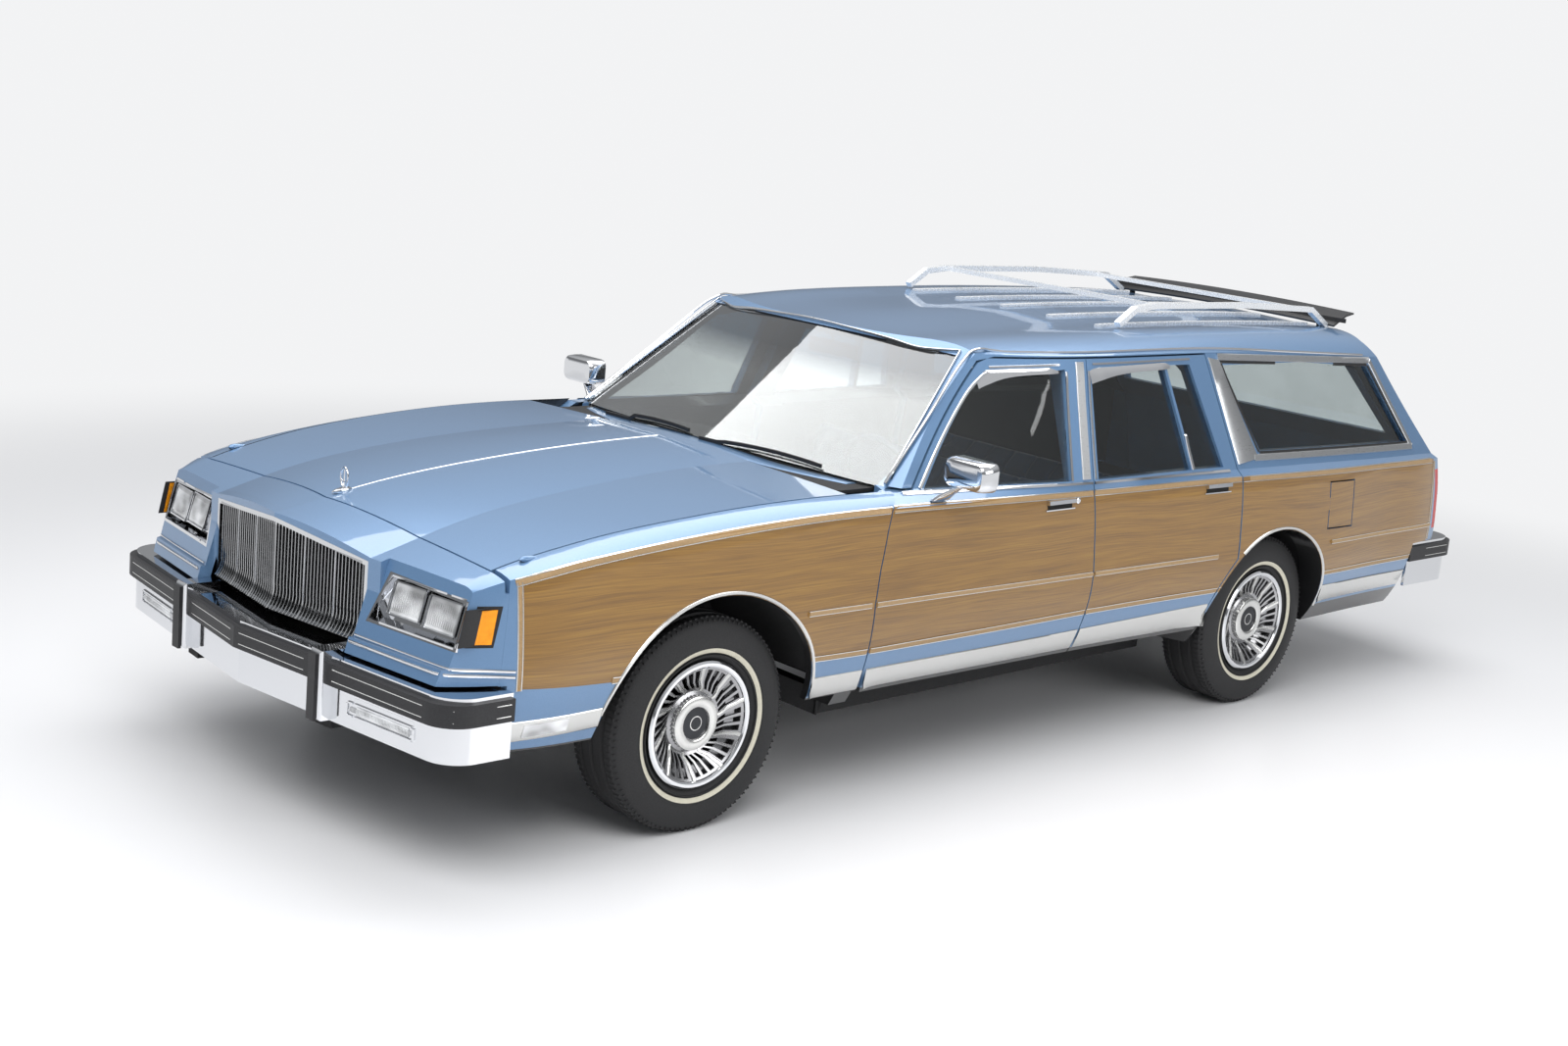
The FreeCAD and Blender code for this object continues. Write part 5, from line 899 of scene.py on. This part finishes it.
def makeRails():
    body, out = pileOf("car_bodyTrim", "car_body"), railLook["out"]
    spots = []
    for p in rounded(gutterRun, railLook["step"]):
        hit = project("side", (p.y, p.z), ("body_side_left", "roof_panel", "fender_left"))
        near = hit and abs(hit[0].x - p.x) < railLook["reach"]
        spots.append(Vector((hit[0].x if near else p.x, p.y, p.z)) + Vector((out, 0, 0)))
    sweep(body, smoothed(spots, 4), oval(railLook["width"], railLook["height"], 8), "chrome")
    for run, size in windshieldRuns:
        spots = []
        for p in rounded(run, railLook["step"]):
            hits = [project("top", p + Vector((d, d)), ("windshield", "roof_panel", "body_side_left"))
                    for d in (0, 0.006, -0.006)]
            spots.append(Vector((p.x, p.y, max(h[0].z for h in hits if h) + out)))
        sweep(body, smoothed(spots, 6), softRect(*size, 2), "chrome", up=(0, -0.57, 0.82))


# vent shades over the tops of the side windows, clear of the tapering cabin side
cabin = ((-1.100, 0.842, 0.560), (-0.895, 0.855, 0.600), (-0.400, 0.890, 0.684), (-0.200, 0.908, 0.735),
         (0.075, 0.928, 0.785), (0.500, 0.930, 0.793), (0.960, 0.926, 0.794), (1.600, 0.920, 0.788))
shades = (("door_front_left", -0.395, -0.030, 1.398, 0.070), ("door_rear_left", 0.125, 0.600, 1.402, 0.060))
shadeLook = {"columns": 24, "drop": 0.026, "rise": 0.008, "thick": (0.0025, 0, -0.0005),
             "section": ((0, 0.010), (0.2, 0.018), (0.6, 0.024), (1, 0.026))}


def cabinX(y, z):
    # rows of cabin are (y, x at height 1.0, x at height 1.4)
    k = max(0, min(len(cabin) - 2, sum(1 for row in cabin if row[0] <= y) - 1))
    t = (y - cabin[k][0]) / (cabin[k + 1][0] - cabin[k][0])
    low, high = (cabin[k][i] + (cabin[k + 1][i] - cabin[k][i]) * t for i in (1, 2))
    return low + (high - low) * (z - 1.0) / 0.4


def makeShades():
    for name, start, end, high, deep in shades:
        rings = []
        for k in range(shadeLook["columns"] + 1):
            t = k / shadeLook["columns"]
            y = start + (end - start) * t
            drop = shadeLook["drop"] + (deep - shadeLook["drop"]) * (1 - t) ** 4
            ends = 0.6 + 0.4 * min(1, t * 8, (1 - t) * 8)
            top = high + shadeLook["rise"] * t
            outer = [Vector((cabinX(y, top - drop * s) + out * ends, y, top - drop * s))
                     for s, out in shadeLook["section"]]
            rings.append(outer + [p - Vector(shadeLook["thick"]) for p in reversed(outer)])
        loft(pileOf(name.replace("_left", "") + "Trim", name), rings, "chrome")


# door handles: a dark strip of painted shade in the recess, the grip over it and a lip under it; a lock
# beside the front one
handleLook = {"height": 0.951, "ends": ((-0.196, -0.052), (0.728, 0.872)),
              "strips": ((0, -0.016, 0.020, 0.0015, "gap", 0.4, (-0.5, -0.36, 0.36, 0.5)),
                         (0.006, 0, 0.017, 0.017, "chrome", 0.7, (-0.5, -0.38, 0, 0.38, 0.5)),
                         (0.012, -0.028, 0.006, 0.006, "chrome", 0.4, (-0.5, -0.36, 0.36, 0.5))),
              "lock": (-0.022, 0.947),
              "lockProfile": ((0.0005, 0.007), (0.006, 0.007), (0.008, 0.006), (0.0115, 0.004),
                              (0.012, -0.002),
                              (0.0005, -0.002))}


def makeHandles():
    for name, (start, end) in zip(doorSkins, handleLook["ends"]):
        for longer, lift, width, height, mat, edge, shares in handleLook["strips"]:
            z = handleLook["height"] + lift
            strip("side", ((start - longer, z), (end + longer, z)), width, height, mat, (name,),
                  shares=shares, edge=edge)
    front = doorSkins[0]
    spin(pileOf("door_frontTrim", front), handleLook["lockProfile"],
         project("side", handleLook["lock"], (front,))[0],
         "chrome", 28)


makeSideTrim()
makeWindowTrim()
makeRails()
makeShades()
makeHandles()
print("side trim done")


# wheels: bright rim ring, swept spokes, ribbed drum and a dark cap; a ring is (material, radius whose depth
# it starts from, segments, profile)
wheelLook = {"spokeWidth": 0.012, "spokeHeight": 0.004, "spokes": 10, "rows": 8, "sweep": 14.0, "bend": 0.35,
             "inner": 0.099, "outer": 0.184, "spokeAngle": 3.6, "slotStart": 0.108, "slotLength": 0.068,
             "hub": 0.070, "ribs": 40, "ribBase": 0.0925, "ribLow": 0.084, "ribHigh": 0.0885,
             "ribHalf": 0.0022}
wheelRings = (("chrome", 0.196, 120, ((0.184, -0.004), (0.185, 0.002), (0.190, 0.0055), (0.1995, 0.0055),
                                      (0.2055, 0.001), (0.2055, -0.003))),
              ("satin", 0.070, 96, ((0.0535, -0.006), (0.0535, 0.001), (0.058, 0.004), (0.080, 0.004),
                                    (0.087, 0.0005), (0.0875, -0.008), (0.082, -0.009))),
              ("graphite", 0.03, 96, ((0.0004, 0.003), (0.040, 0.0022), (0.052, 0.0008), (0.052, -0.001),
                                      (0.0004, -0.001))),
              ("satin", 0.03, 64, ((0.020, 0.0015), (0.0205, 0.0038), (0.0235, 0.0036), (0.024, 0.0015))))


def faceDepth(name, middle, radius, turn=0.3):
    hit = project("side", (middle.y + radius * math.cos(turn), middle.z + radius * math.sin(turn)), (name,))
    return hit[0].x - middle.x if hit else 0.05


def makeSpoke(name, middle):
    look, rings = wheelLook, []
    for k in range(look["rows"] + 1):
        share = k / look["rows"]
        radius = look["inner"] + (look["outer"] - look["inner"]) * share
        slot = max(0, min(1, (radius - look["slotStart"]) / look["slotLength"]))
        bend = look["bend"]
        twist = slot / bend * (1 - bend) if slot < bend else 1 - bend + (slot - bend) / (1 - bend) * bend
        turn = math.radians(look["spokeAngle"] + look["sweep"] * twist)
        ray, side = Vector((0, math.cos(turn), math.sin(turn))), Vector((0, -math.sin(turn), math.cos(turn)))
        at = ray * radius + Vector((faceDepth(name, middle, radius, turn), 0, 0))
        half = look["spokeWidth"] / 2 * (0.85 + 0.3 * share)
        rings.append([at + side * u * half + Vector((h, 0, 0)) for u, h in
                      ((-1, -0.002), (-1, 0.0015), (-0.6, look["spokeHeight"]), (0.6, look["spokeHeight"]),
                       (1, 0.0015), (1, -0.002))])
    unit = newPile()
    loft(unit, rings, "satin")
    return unit


def makeWheel(end):
    name, middle = "wheel_" + end + "_left", wheelMiddle("tyre_" + end + "_left")
    pile, look = pileOf("wheelTrim_" + end, name), wheelLook
    for mat, radius, count, profile in wheelRings:
        depth = faceDepth(name, middle, radius)
        spin(pile, [(r, depth + h) for r, h in profile], middle, mat, count)
    repeat(pile, makeSpoke(name, middle), "satin", look["spokes"], middle)
    hub, base = faceDepth(name, middle, look["hub"]), faceDepth(name, middle, look["ribBase"])
    rib, half = newPile(), look["ribHalf"]
    softBlock(rib, (base - 0.002, look["ribLow"], -half), (hub - 0.006, look["ribHigh"], half), 0.001,
              "satin", axis=0)
    repeat(pile, rib, "satin", look["ribs"], middle)


# tyres: wall rows are (share of the height, share of the half width); blocks are (place across, half width,
# half length, low and high edge under the tread), and rings stand on the side
tyreLook = {"wall": ((0, 0.62), (0.16, 0.84), (0.34, 0.965), (0.50, 1), (0.68, 0.975), (0.86, 0.90)),
            "shoulder": ((0.008, 0.80), (0.003, 0.74)), "whiteFrom": 0.2325, "whiteTo": 0.2475,
            "grooves": (0.46, 0.0, -0.46),
            "groove": ((0.10, 0.0), (0.065, 0.007), (-0.065, 0.007), (-0.10, 0.0)),
            "blocks": ((0.66, 0.013, 0.0052, 0.007, 0.0006), (0.83, 0.006, 0.0022, 0.016, 0.009)),
            "around": 100, "soft": 0.0012, "segments": 144,
            "rings": ((0.226, 0.965), (0.254, 0.992), (0.285, 0.985)),
            "ring": ((-0.002, -0.006), (-0.0012, 0.0002), (0.0012, 0.0002), (0.002, -0.006))}


def makeTyre(end):
    node, look = "tyre_" + end + "_left", tyreLook
    middle = wheelMiddle(node)
    low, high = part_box(node)
    outer, half = (high.z - low.z) / 2, (high.x - low.x) / 2
    inner = min(math.hypot(v.co.y - middle.y, v.co.z - middle.z) for v in nodes[node].data.vertices)
    wall = rounded([(inner + s * (outer - inner), w * half) for s, w in look["wall"]]
                   + [(outer - s, w * half) for s, w in look["shoulder"]], 0.004)
    profile = [(p.x, p.y) for p in wall]
    kinds = ["whitewall" if look["whiteFrom"] < p.x + 0.002 < look["whiteTo"] else "tyre" for p in wall]
    for centre in look["grooves"]:
        profile += [(outer - 0.0015 - drop, (centre + u) * half) for u, drop in look["groove"]]
    profile += [(p.x, -p.y) for p in reversed(wall)]
    kinds += ["tyre"] * (len(profile) - len(kinds))
    pile = pileOf("tyre_" + end + "_look", "wheel_" + end + "_left")
    spin(pile, profile, middle, kinds, look["segments"])
    for side in (1, -1):
        for share, wide, deep, under, over in look["blocks"]:
            block, at = newPile(), side * share * half
            softBlock(block, (at - wide, -deep, outer - under), (at + wide, deep, outer - over), look["soft"],
                      "tyre")
            repeat(pile, block, "tyre", look["around"], middle)
    for radius, share in look["rings"]:
        spin(pile, [(radius + r, half * share + h) for r, h in look["ring"]], middle, "tyre",
             look["segments"])


for end in ("front", "rear"):
    makeWheel(end)
    makeTyre(end)
print("wheels and tyres done")


# lamps: ribbed lenses and bright rims
lampLook = {"right": 0.829, "width": 0.142, "pitch": 0.150, "low": 0.716, "step": 0.005, "height": 0.100,
            "ribs": 15,
            "lensIn": 0.006, "lensHeight": 0.004, "rimIn": 0.003, "rim": (0.006, 0.0065), "ribIn": 0.010,
            "rib": (0.0042, 0.0052), "surround": (0.524, 0.842, 0.694, 0.829, 0.006, 0.002)}
lowLamp = {"left": 0.530, "reach": 0.258, "spaces": 43, "low": 0.437, "high": 0.459, "rib": (0.0032, 0.0048),
           "lens": (0.524, 0.794, 0.434, 0.462, 0.003), "rim": (0.516, 0.802, 0.428, 0.467, 0.007, 0.005)}
sideBands = ((((-2.610, 0.686), (-2.580, 0.830)), ((-2.474, 0.686), (-2.450, 0.828)), 30, 0.003, "trimBlack"),
             (((-2.588, 0.704), (-2.568, 0.810)), ((-2.504, 0.704), (-2.486, 0.810)), 24, 0.0055, "amber"))
sideLamp = (((-2.39, 0.415), (-2.236, 0.424)), ((-2.39, 0.459), (-2.236, 0.466)))


def frontPatch(x0, x1, z0, z1, height, mat, names, count=24):
    rows = [[Vector((x0 + (x1 - x0) * k / count, z0 + (z1 - z0) * s)) for s in (0, 0.06, 0.5, 0.94, 1)]
            for k in range(count + 1)]
    lay("front", rows, height, mat, names, "Front", keep=2)


def frontFrame(x0, x1, z0, z1, width, height, names):
    loop = ((x0, z0), (x1, z0), (x1, z1), (x0, z1), (x0, z0))
    for run in zip(loop, loop[1:]):
        strip("front", run, width, height, "chrome", names, "Front", 0.003, keep=4)


def makeHeadlamps():
    names = ("headlamps",)
    for index in range(2):
        right = lampLook["right"] - index * lampLook["pitch"]
        left = right - lampLook["width"]
        low = lampLook["low"] + index * lampLook["step"]
        high = low + lampLook["height"]
        lens, rim, rib = lampLook["lensIn"], lampLook["rimIn"], lampLook["ribIn"]
        frontPatch(left + lens, right - lens, low + lens, high - lens, lampLook["lensHeight"], "lens", names)
        frontFrame(left + rim, right - rim, low + rim, high - rim, *lampLook["rim"], names)
        for k in range(lampLook["ribs"]):
            x = left + rib + (lampLook["width"] - rib * 2) * (k + 0.5) / lampLook["ribs"]
            strip("front", ((x, low + rib), (x, high - rib)), *lampLook["rib"], "lens", names, "Front", 0.006,
                  keep=6)
    frontFrame(*lampLook["surround"], ("headlamps", "header_panel"))


def makeLowLamps():
    for edgeA, edgeB, count, height, mat in sideBands:
        lay("side", bandRows(edgeA, edgeB, count), height, mat, ("side_markers", "header_panel"), "Front")
    # fluted parking lamp lens in a bright rim
    names = ("parking_lamps", "front_bumper")
    frontPatch(*lowLamp["lens"], "lens", names)
    frontFrame(*lowLamp["rim"], names)
    for k in range(lowLamp["spaces"] + 1):
        x = lowLamp["left"] + lowLamp["reach"] * k / lowLamp["spaces"]
        strip("front", ((x, lowLamp["low"]), (x, lowLamp["high"])), *lowLamp["rib"], "lens", names, "Front",
              keep=3)
    # clear side lamp in the low band
    lay("side", bandRows(*sideLamp, 30), 0.006, "lens", ("fender_left",), "Front")


# bars under the headlamps, lines along the bumper strips and down the grille's dividers
frontBars = {"heights": (0.638, 0.622), "section": (0.006, 0.009, 0.002, 2)}
bumperLines = {"heights": (0.516, 0.550), "width": 0.0028, "height": 0.0008,
               "runs": (("front", "Front", 0.02, 0.34), ("back", "Rear", 0.02, 0.34),
                        ("front", "Front", 0.46, 0.86),
                        ("back", "Rear", 0.46, 0.86), ("side", "Front", -2.66, -2.47),
                        ("side", "Rear", 2.47, 2.66))}
dividerLines = {"reach": 0.418, "dividers": 3, "lastIn": 0.006, "out": 0.0035, "low": 0.650, "high": 0.838}


def bar(look, points, names, out=0.002, passes=6):
    # a bright bar swept over the skin along a smoothed run of surface points
    hits = [project(look, p, names) for p in straight(points, 0.008)]
    spots = smoothed([hit[0] - directions[look][0] * out for hit in hits if hit], passes)
    if len(spots) > 3:
        sweep(pileOf("car_bodyFront", "car_body"), spots, softRect(*frontBars["section"]), "chrome")


def makeFrontTrim():
    for z in frontBars["heights"]:
        bar("front", ((0.446, z + 0.002), (0.700, z), (0.846, z)), ("header_panel",))
        bar("side", ((-2.612, z), (-2.520, z - 0.003), (-2.436, z - 0.010)), ("header_panel", "fender_left"))
    for z in bumperLines["heights"]:
        for look, piece, start, end in bumperLines["runs"]:
            strip(look, ((start, z), (end, z)), bumperLines["width"], bumperLines["height"], "satin",
                  (piece.lower() + "_bumper_strip",), piece, 0.005)
    look = dividerLines
    for k in range(1, look["dividers"] + 1):
        x = look["reach"] / look["dividers"] * k - (look["lastIn"] if k == look["dividers"] else 0)
        for side in (-1, 1):
            at = x + side * look["out"]
            strip("front", ((at, look["low"]), (at, look["high"])), 0.0022, 0.0016, "chrome", ("grille",),
                  "Front", 0.005)


# pieces across or beside the middle of the car, which aren't mirrored
grilleShade = {"half": 0.425, "front": -2.640, "sweep": 0.075, "low": 0.622, "high": 0.872, "fall": 0.022,
               "deep": 0.006}
ornamentLook = {"foot": ((0, 0.004, 0.002), (0.15, 0.016, 0.006), (0.5, 0.026, 0.010), (0.8, 0.020, 0.011),
                         (1, 0.006, 0.004)), "footStart": -0.030, "footLength": 0.075,
                         "ringHalf": (0.020, 0.032),
                "stem": ((0, 0.006), (0, 0.040), (0, 0.070)),
                "arms": ((-0.016, 0.036), (0, 0.030), (0.016, 0.036))}
# edges of the cowl are (y at the middle, rise, reach, power); ends of a wiper are (x, y, rise)
cowlLook = {"half": 0.74, "columns": 40, "height": 0.003,
            "edges": ((-1.117, 0.225, 0.85, 2.2), (-1.040, 0.150, 0.80, 2.0))}
wiperLook = {"apart": 0.30, "reach": 0.80, "steps": 14, "lift": (0, -0.006, 0.008),
             "ends": ((-0.25, -1.052, 0.13), (0.27, -1.030, 0.15)), "section": (0.007, 0.014, 0.002, 2)}
insideMirror = {"low": (-0.125, -0.395, 1.325), "high": (0.125, -0.372, 1.378), "soft": 0.010, "thick": 0.012,
                "stem": ((0, -0.385, 1.372), (0, -0.40, 1.405), (0, -0.41, 1.43))}
antennaLook = {"x": -0.835, "y": -1.17,
               "foot": ((0.0005, 0.022), (0.006, 0.020), (0.014, 0.006), (0.016, -0.002), (0.0005, -0.002)),
               "mast": ((0.0003, 0.36), (0.0022, 0.356), (0.0024, 0.18), (0.0034, 0.178), (0.0036, 0.015),
                        (0.0003, 0.015))}
bladeLook = {"half": 0.60, "rise": 0.012, "columns": 16,
             "section": ((2.035, 1.496), (2.075, 1.520), (2.130, 1.540), (2.185, 1.548), (2.186, 1.541),
                         (2.130, 1.531), (2.080, 1.508), (2.040, 1.488))}
markLook = {"radius": 0.011, "start": -0.035, "length": 0.085,
            "sizes": ((0, 0.15), (0.08, 0.75), (0.25, 1.0), (0.55, 0.8), (0.85, 0.4), (1.0, 0.1))}


def makeGrilleShade(pile, columns=12):
    # dark shade behind the grille bars
    look, rings = grilleShade, []
    for k in range(columns + 1):
        x = -look["half"] + look["half"] * 2 * k / columns
        y = look["front"] + look["sweep"] * abs(x) / look["half"]
        low, top = look["low"], look["high"] - look["fall"] * abs(x) / look["half"]
        rings.append([Vector((x, y + a, z)) for a,
                      z in ((0, low), (0, top), (look["deep"], top), (look["deep"], low))])
    loft(pile, rings, "gap")


def makeOrnament():
    # a line along the hood, and a ring on a foot at its front
    hood, look = pileOf("hoodCentre", "hood"), ornamentLook
    strip("top", ((0, -2.45), (0, -1.20)), 0.0045, 0.002, "chrome", ("hood",), "Centre", 0.006,
          (-0.5, -0.2, 0.2, 0.5))
    at = project("top", (0, -2.455), ("hood",))[0]
    rings = []
    for share, wide, tall in look["foot"]:
        y = at.y + look["footStart"] + look["footLength"] * share
        rings.append([Vector((u, y, at.z + v + tall / 2)) for u,
                      v in softRect(wide, tall + 0.004, 0.0018, 2)])
    loft(hood, rings, "chrome")
    wide, tall = look["ringHalf"]
    loop = [at + Vector((wide * math.cos(t), 0.010, 0.044 + tall * math.sin(t)))
            for t in (math.tau * k / 40 for k in range(40))]
    sweep(hood, loop, oval(0.0055, 0.006, 8), "chrome", up=(0, 1, 0), closed=True)
    for run, size in ((look["stem"], (0.005, 0.004)), (look["arms"], (0.004, 0.004))):
        sweep(hood, [at + Vector((x, 0.010, z)) for x, z in run], oval(*size, 8), "chrome", up=(0, 1, 0))


def makeCowl():
    # cowl panel between the hood and the glass
    half, columns, rows = cowlLook["half"], cowlLook["columns"], []
    for k in range(columns + 1):
        x = -half + half * 2 * k / columns
        start, end = (y + rise * (abs(x) / reach) ** power for y, rise, reach, power in cowlLook["edges"])
        rows.append([Vector((x, start + (end - start) * t)) for t in (0, 0.06, 0.5, 0.94, 1)])
    lay("top", rows, cowlLook["height"], "paint", ("floor_pan",), "Centre", keep=1)


def makeWipers(pile):
    for side in (-1, 1):
        ends, steps = [], wiperLook["steps"]
        for along, y, rise in wiperLook["ends"]:
            x = side * wiperLook["apart"] + along
            ends.append(Vector((x, y + rise * (abs(x) / wiperLook["reach"]) ** 2, 0)))
        hits = [project("top", ends[0].lerp(ends[1], k / steps), ("windshield", "floor_pan"))
                for k in range(steps + 1)]
        points = [hit[0] + Vector(wiperLook["lift"]) for hit in hits if hit]
        if len(points) > 3:
            sweep(pile, points, softRect(*wiperLook["section"]), "trimBlack")


def makeAntenna(pile):
    # a stiff mast on the right fender, whose skin is the left one's mirror image
    x, y = antennaLook["x"], antennaLook["y"]
    foot = project("top", (-x, y), ("fender_left",))
    if foot:
        for part, count in (("foot", 32), ("mast", 12)):
            spin(pile, antennaLook[part], (x, y, foot[0].z), "chrome", count, axis="z")


def makeBlade(pile):
    # dark blade of the air deflector over its foot
    half, columns, rings = bladeLook["half"], bladeLook["columns"], []
    for k in range(columns + 1):
        x = -half + half * 2 * k / columns
        lift = bladeLook["rise"] * (1 - (x / half) ** 2)
        rings.append([Vector((x, y, z + lift)) for y, z in bladeLook["section"]])
    loft(pile, rings, "trimBlack")


def makeInsideMirror(pile):
    look = insideMirror
    softBlock(pile, look["low"], look["high"], look["soft"], "trimBlack", axis=0)
    sweep(pile, look["stem"], oval(look["thick"], look["thick"]), "chrome", up=(1, 0, 0))


def makeFenderMark():
    # teardrop markers on the fender tops are part of the mirrored trim
    tip = project("top", (0.828, -2.348), ("fender_left",))
    if tip:
        at, rings = tip[0], []
        for share, size in markLook["sizes"]:
            y, radius = at.y + markLook["start"] + markLook["length"] * share, markLook["radius"] * size
            rings.append([Vector((at.x + u, y, at.z + v)) for u, v in oval(radius * 2, radius * 2, 16)])
        loft(pileOf("car_bodyFront", "car_body"), rings, "paint")


def makeCentre():
    centre = pileOf("car_bodyCentre", "car_body")
    makeGrilleShade(centre)
    makeOrnament()
    makeCowl()
    makeWipers(centre)
    makeAntenna(centre)
    makeBlade(centre)
    makeInsideMirror(centre)
    makeFenderMark()


# door mirrors: shell and glass rows are (y, share of the size, corner radius)
mirrorLook = {"inset": 0.035, "low": 1.058,
              "shell": ((-0.772, 0.70, 0.02), (-0.7695, 0.86, 0.026), (-0.761, 0.95, 0.03),
                        (-0.735, 0.995, 0.03),
                        (-0.700, 1.0, 0.028), (-0.698, 0.985, 0.026), (-0.698, 0.93, 0.024),
                        (-0.704, 0.92, 0.023)),
              "glass": ((-0.7045, 0.91, 0.022), (-0.7025, 0.90, 0.022))}


def makeMirror():
    low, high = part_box("mirror_left")
    pile = pileOf("mirror_look", "door_front_left")
    x0, x1, z0, z1 = low.x + mirrorLook["inset"], high.x, mirrorLook["low"], high.z
    width, height = x1 - x0, z1 - z0
    for part, mat in (("shell", "chrome"), ("glass", "mirrorGlass")):
        loft(pile, [[Vector(((x0 + x1) / 2 + u, y, (z0 + z1) / 2 + v))
                     for u, v in softRect(width * scale, height * scale, radius, 5)]
                    for y, scale, radius in mirrorLook[part]], mat)
    foot = []
    for share in (0, 0.25, 0.5, 0.75, 1.0):
        x, z = 0.925 + 0.085 * share, 1.000 + 0.062 * share ** 0.8
        wide, deep = 0.080 - 0.045 * share, 0.020 - 0.006 * share
        foot.append([Vector((x + v, -0.745 + u + 0.01 * share, z)) for u,
                     v in softRect(wide, deep, 0.006, 3)])
    loft(pile, foot, "chrome")


# tailgate borders and window surround, lamp rims and ribs, plate and handle
rearRuns = ((((0.0, 0.955), (0.66, 0.955)), 0.014, "satin", ("tailgate",)),
            (((0.0, 0.560), (0.66, 0.560)), 0.014, "satin", ("tailgate",)),
            (((0.672, 0.560), (0.672, 0.955)), 0.012, "satin", ("tailgate",)),
            (((0.0, 1.012), (0.62, 1.012)), 0.016, "chrome", ("tailgate", "tail_frame", "roof_panel")),
            (((0.0, 1.395), (0.575, 1.385)), 0.016, "chrome", ("tailgate", "tail_frame", "roof_panel")))
tailLamp = {"rims": (0.600, 0.716, 0.838), "bar": 0.716, "clear": 0.012, "rows": 17, "low": 0.615,
            "pitch": 0.0135,
            "inner": 0.115, "outer": 0.006, "rim": (0.012, 0.004), "rib": (0.004, 0.002)}
plateEdges = (((0.0, 0.610), (0.0, 0.745)), ((0.19, 0.610), (0.19, 0.745)))


def makeRear():
    for run, width, mat, names in rearRuns:
        strip("back", run, width, 0.004, mat, names, "Rear", 0.005)
    low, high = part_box("tail_lamps")
    x0, x1, names = high.x - tailLamp["inner"], high.x - tailLamp["outer"], ("tail_lamps",)
    for z in tailLamp["rims"]:
        strip("back", ((x0, z), (x1, z)), *tailLamp["rim"], "satin", names, "Rear")
    for k in range(tailLamp["rows"]):
        z = tailLamp["low"] + tailLamp["pitch"] * k
        if abs(z - tailLamp["bar"]) > tailLamp["clear"]:
            strip("back", ((x0 + 0.006, z), (x1 - 0.004, z)), *tailLamp["rib"], "red", names, "Rear")
    lay("back", bandRows(*plateEdges, 24), 0.002, "plate", ("tailgate",), "Rear")
    strip("back", ((0.0, 0.765), (0.11, 0.765)), 0.022, 0.016, "chrome", ("tailgate",), "Rear",
          shares=(-0.5, -0.35, 0, 0.35, 0.5), edge=0.6)


makeHeadlamps()
makeLowLamps()
makeFrontTrim()
makeCentre()
makeMirror()
makeRear()
print("lamps, front, mirror and rear trim done")


# seats: each cushion starts as the seat's own form and is inflated as cloth, then seamed
cushionLook = {"voxel": 0.016, "shrink": 0.010, "cap": 0.024, "frames": 20, "channel": 0.118,
               "seamDepth": 0.007,
               "seamWidth": 0.006, "margin": 0.0005}
clothLook = {"use_pressure": True, "uniform_pressure_force": 4.0, "quality": 4, "mass": 0.4,
             "tension_stiffness": 12,
             "bending_stiffness": 3}


def inflate(obj):
    start = [v.co.copy() for v in obj.data.vertices]
    cloth = obj.modifiers.new("cloth", "CLOTH")
    for key, value in clothLook.items():
        setattr(cloth.settings, key, value)
    cloth.settings.effector_weights.gravity = 0
    cloth.collision_settings.use_collision = False
    cloth.point_cache.frame_start = 1
    cloth.point_cache.frame_end = cushionLook["frames"]
    for frameNumber in range(1, cushionLook["frames"] + 1):
        scene.frame_set(frameNumber)
    moved = obj.evaluated_get(bpy.context.evaluated_depsgraph_get()).data
    places = [v.co.copy() for v in moved.vertices]
    obj.modifiers.clear()
    scene.frame_set(1)
    for v, a, b in zip(obj.data.vertices, start, places):
        shift = b - a
        if shift.length > cushionLook["cap"]:
            shift *= cushionLook["cap"] / shift.length
        v.co = a + shift


def pressSeams(mesh, low, high):
    normals = [v.normal.copy() for v in mesh.vertices]
    pitch, width, margin = cushionLook["channel"], cushionLook["seamWidth"], cushionLook["margin"]
    for v, n in zip(mesh.vertices, normals):
        off = abs((v.co.x + pitch / 2) % pitch - pitch / 2)
        facing = max(0.0, min(1.0, n.z * 1.5 - n.y * 1.5))
        v.co -= n * (cushionLook["seamDepth"] * (math.exp(-(off / width) ** 2) * facing))
        for k in range(3):
            v.co[k] = max(low[k] + margin, min(high[k] - margin, v.co[k]))


def makeCushion(node, name):
    obj = bpy.data.objects.new(name, nodes[node].data.copy())
    scene.collection.objects.link(obj)
    bpy.context.view_layer.objects.active = obj
    remesh = obj.modifiers.new("remesh", "REMESH")
    remesh.mode = "VOXEL"
    remesh.voxel_size = cushionLook["voxel"]
    obj.data = bakedMesh(obj)
    obj.modifiers.clear()
    normals = [v.normal.copy() for v in obj.data.vertices]
    for v, n in zip(obj.data.vertices, normals):
        v.co -= n * cushionLook["shrink"]
    inflate(obj)
    soften = obj.modifiers.new("subdivision", "SUBSURF")
    soften.levels = soften.render_levels = 1
    obj.data = bakedMesh(obj)
    obj.modifiers.clear()
    mesh = obj.data
    pressSeams(mesh, *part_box(node))
    mesh.materials.clear()
    mesh.materials.append(mats["blueCloth"])
    mesh.shade_smooth()
    bm = bmesh.new()
    bm.from_mesh(mesh)
    bmesh.ops.recalc_face_normals(bm, faces=bm.faces)
    bm.to_mesh(mesh)
    bm.free()
    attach(obj, "car_body")
    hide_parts(node)


for node, name in (("front_seat", "frontSeatPad"), ("rear_seat", "rearSeatPad")):
    makeCushion(node, name)
print("seats done")

for (name, body), pile in piles.items():
    slot = "tyre_rubber" if name.startswith("tyre") else "chrome"
    replaced = [name.replace("_look", "_left")] if name.endswith("_look") else []
    if name.endswith("Centre"):
        makePiece(name, pile, body)
        continue
    for side in ("left", "right"):
        makePiece(name + "_" + side, pile, body.replace("left", side),
                  [n.replace("left", side) for n in replaced],
                  mirror=side == "right")
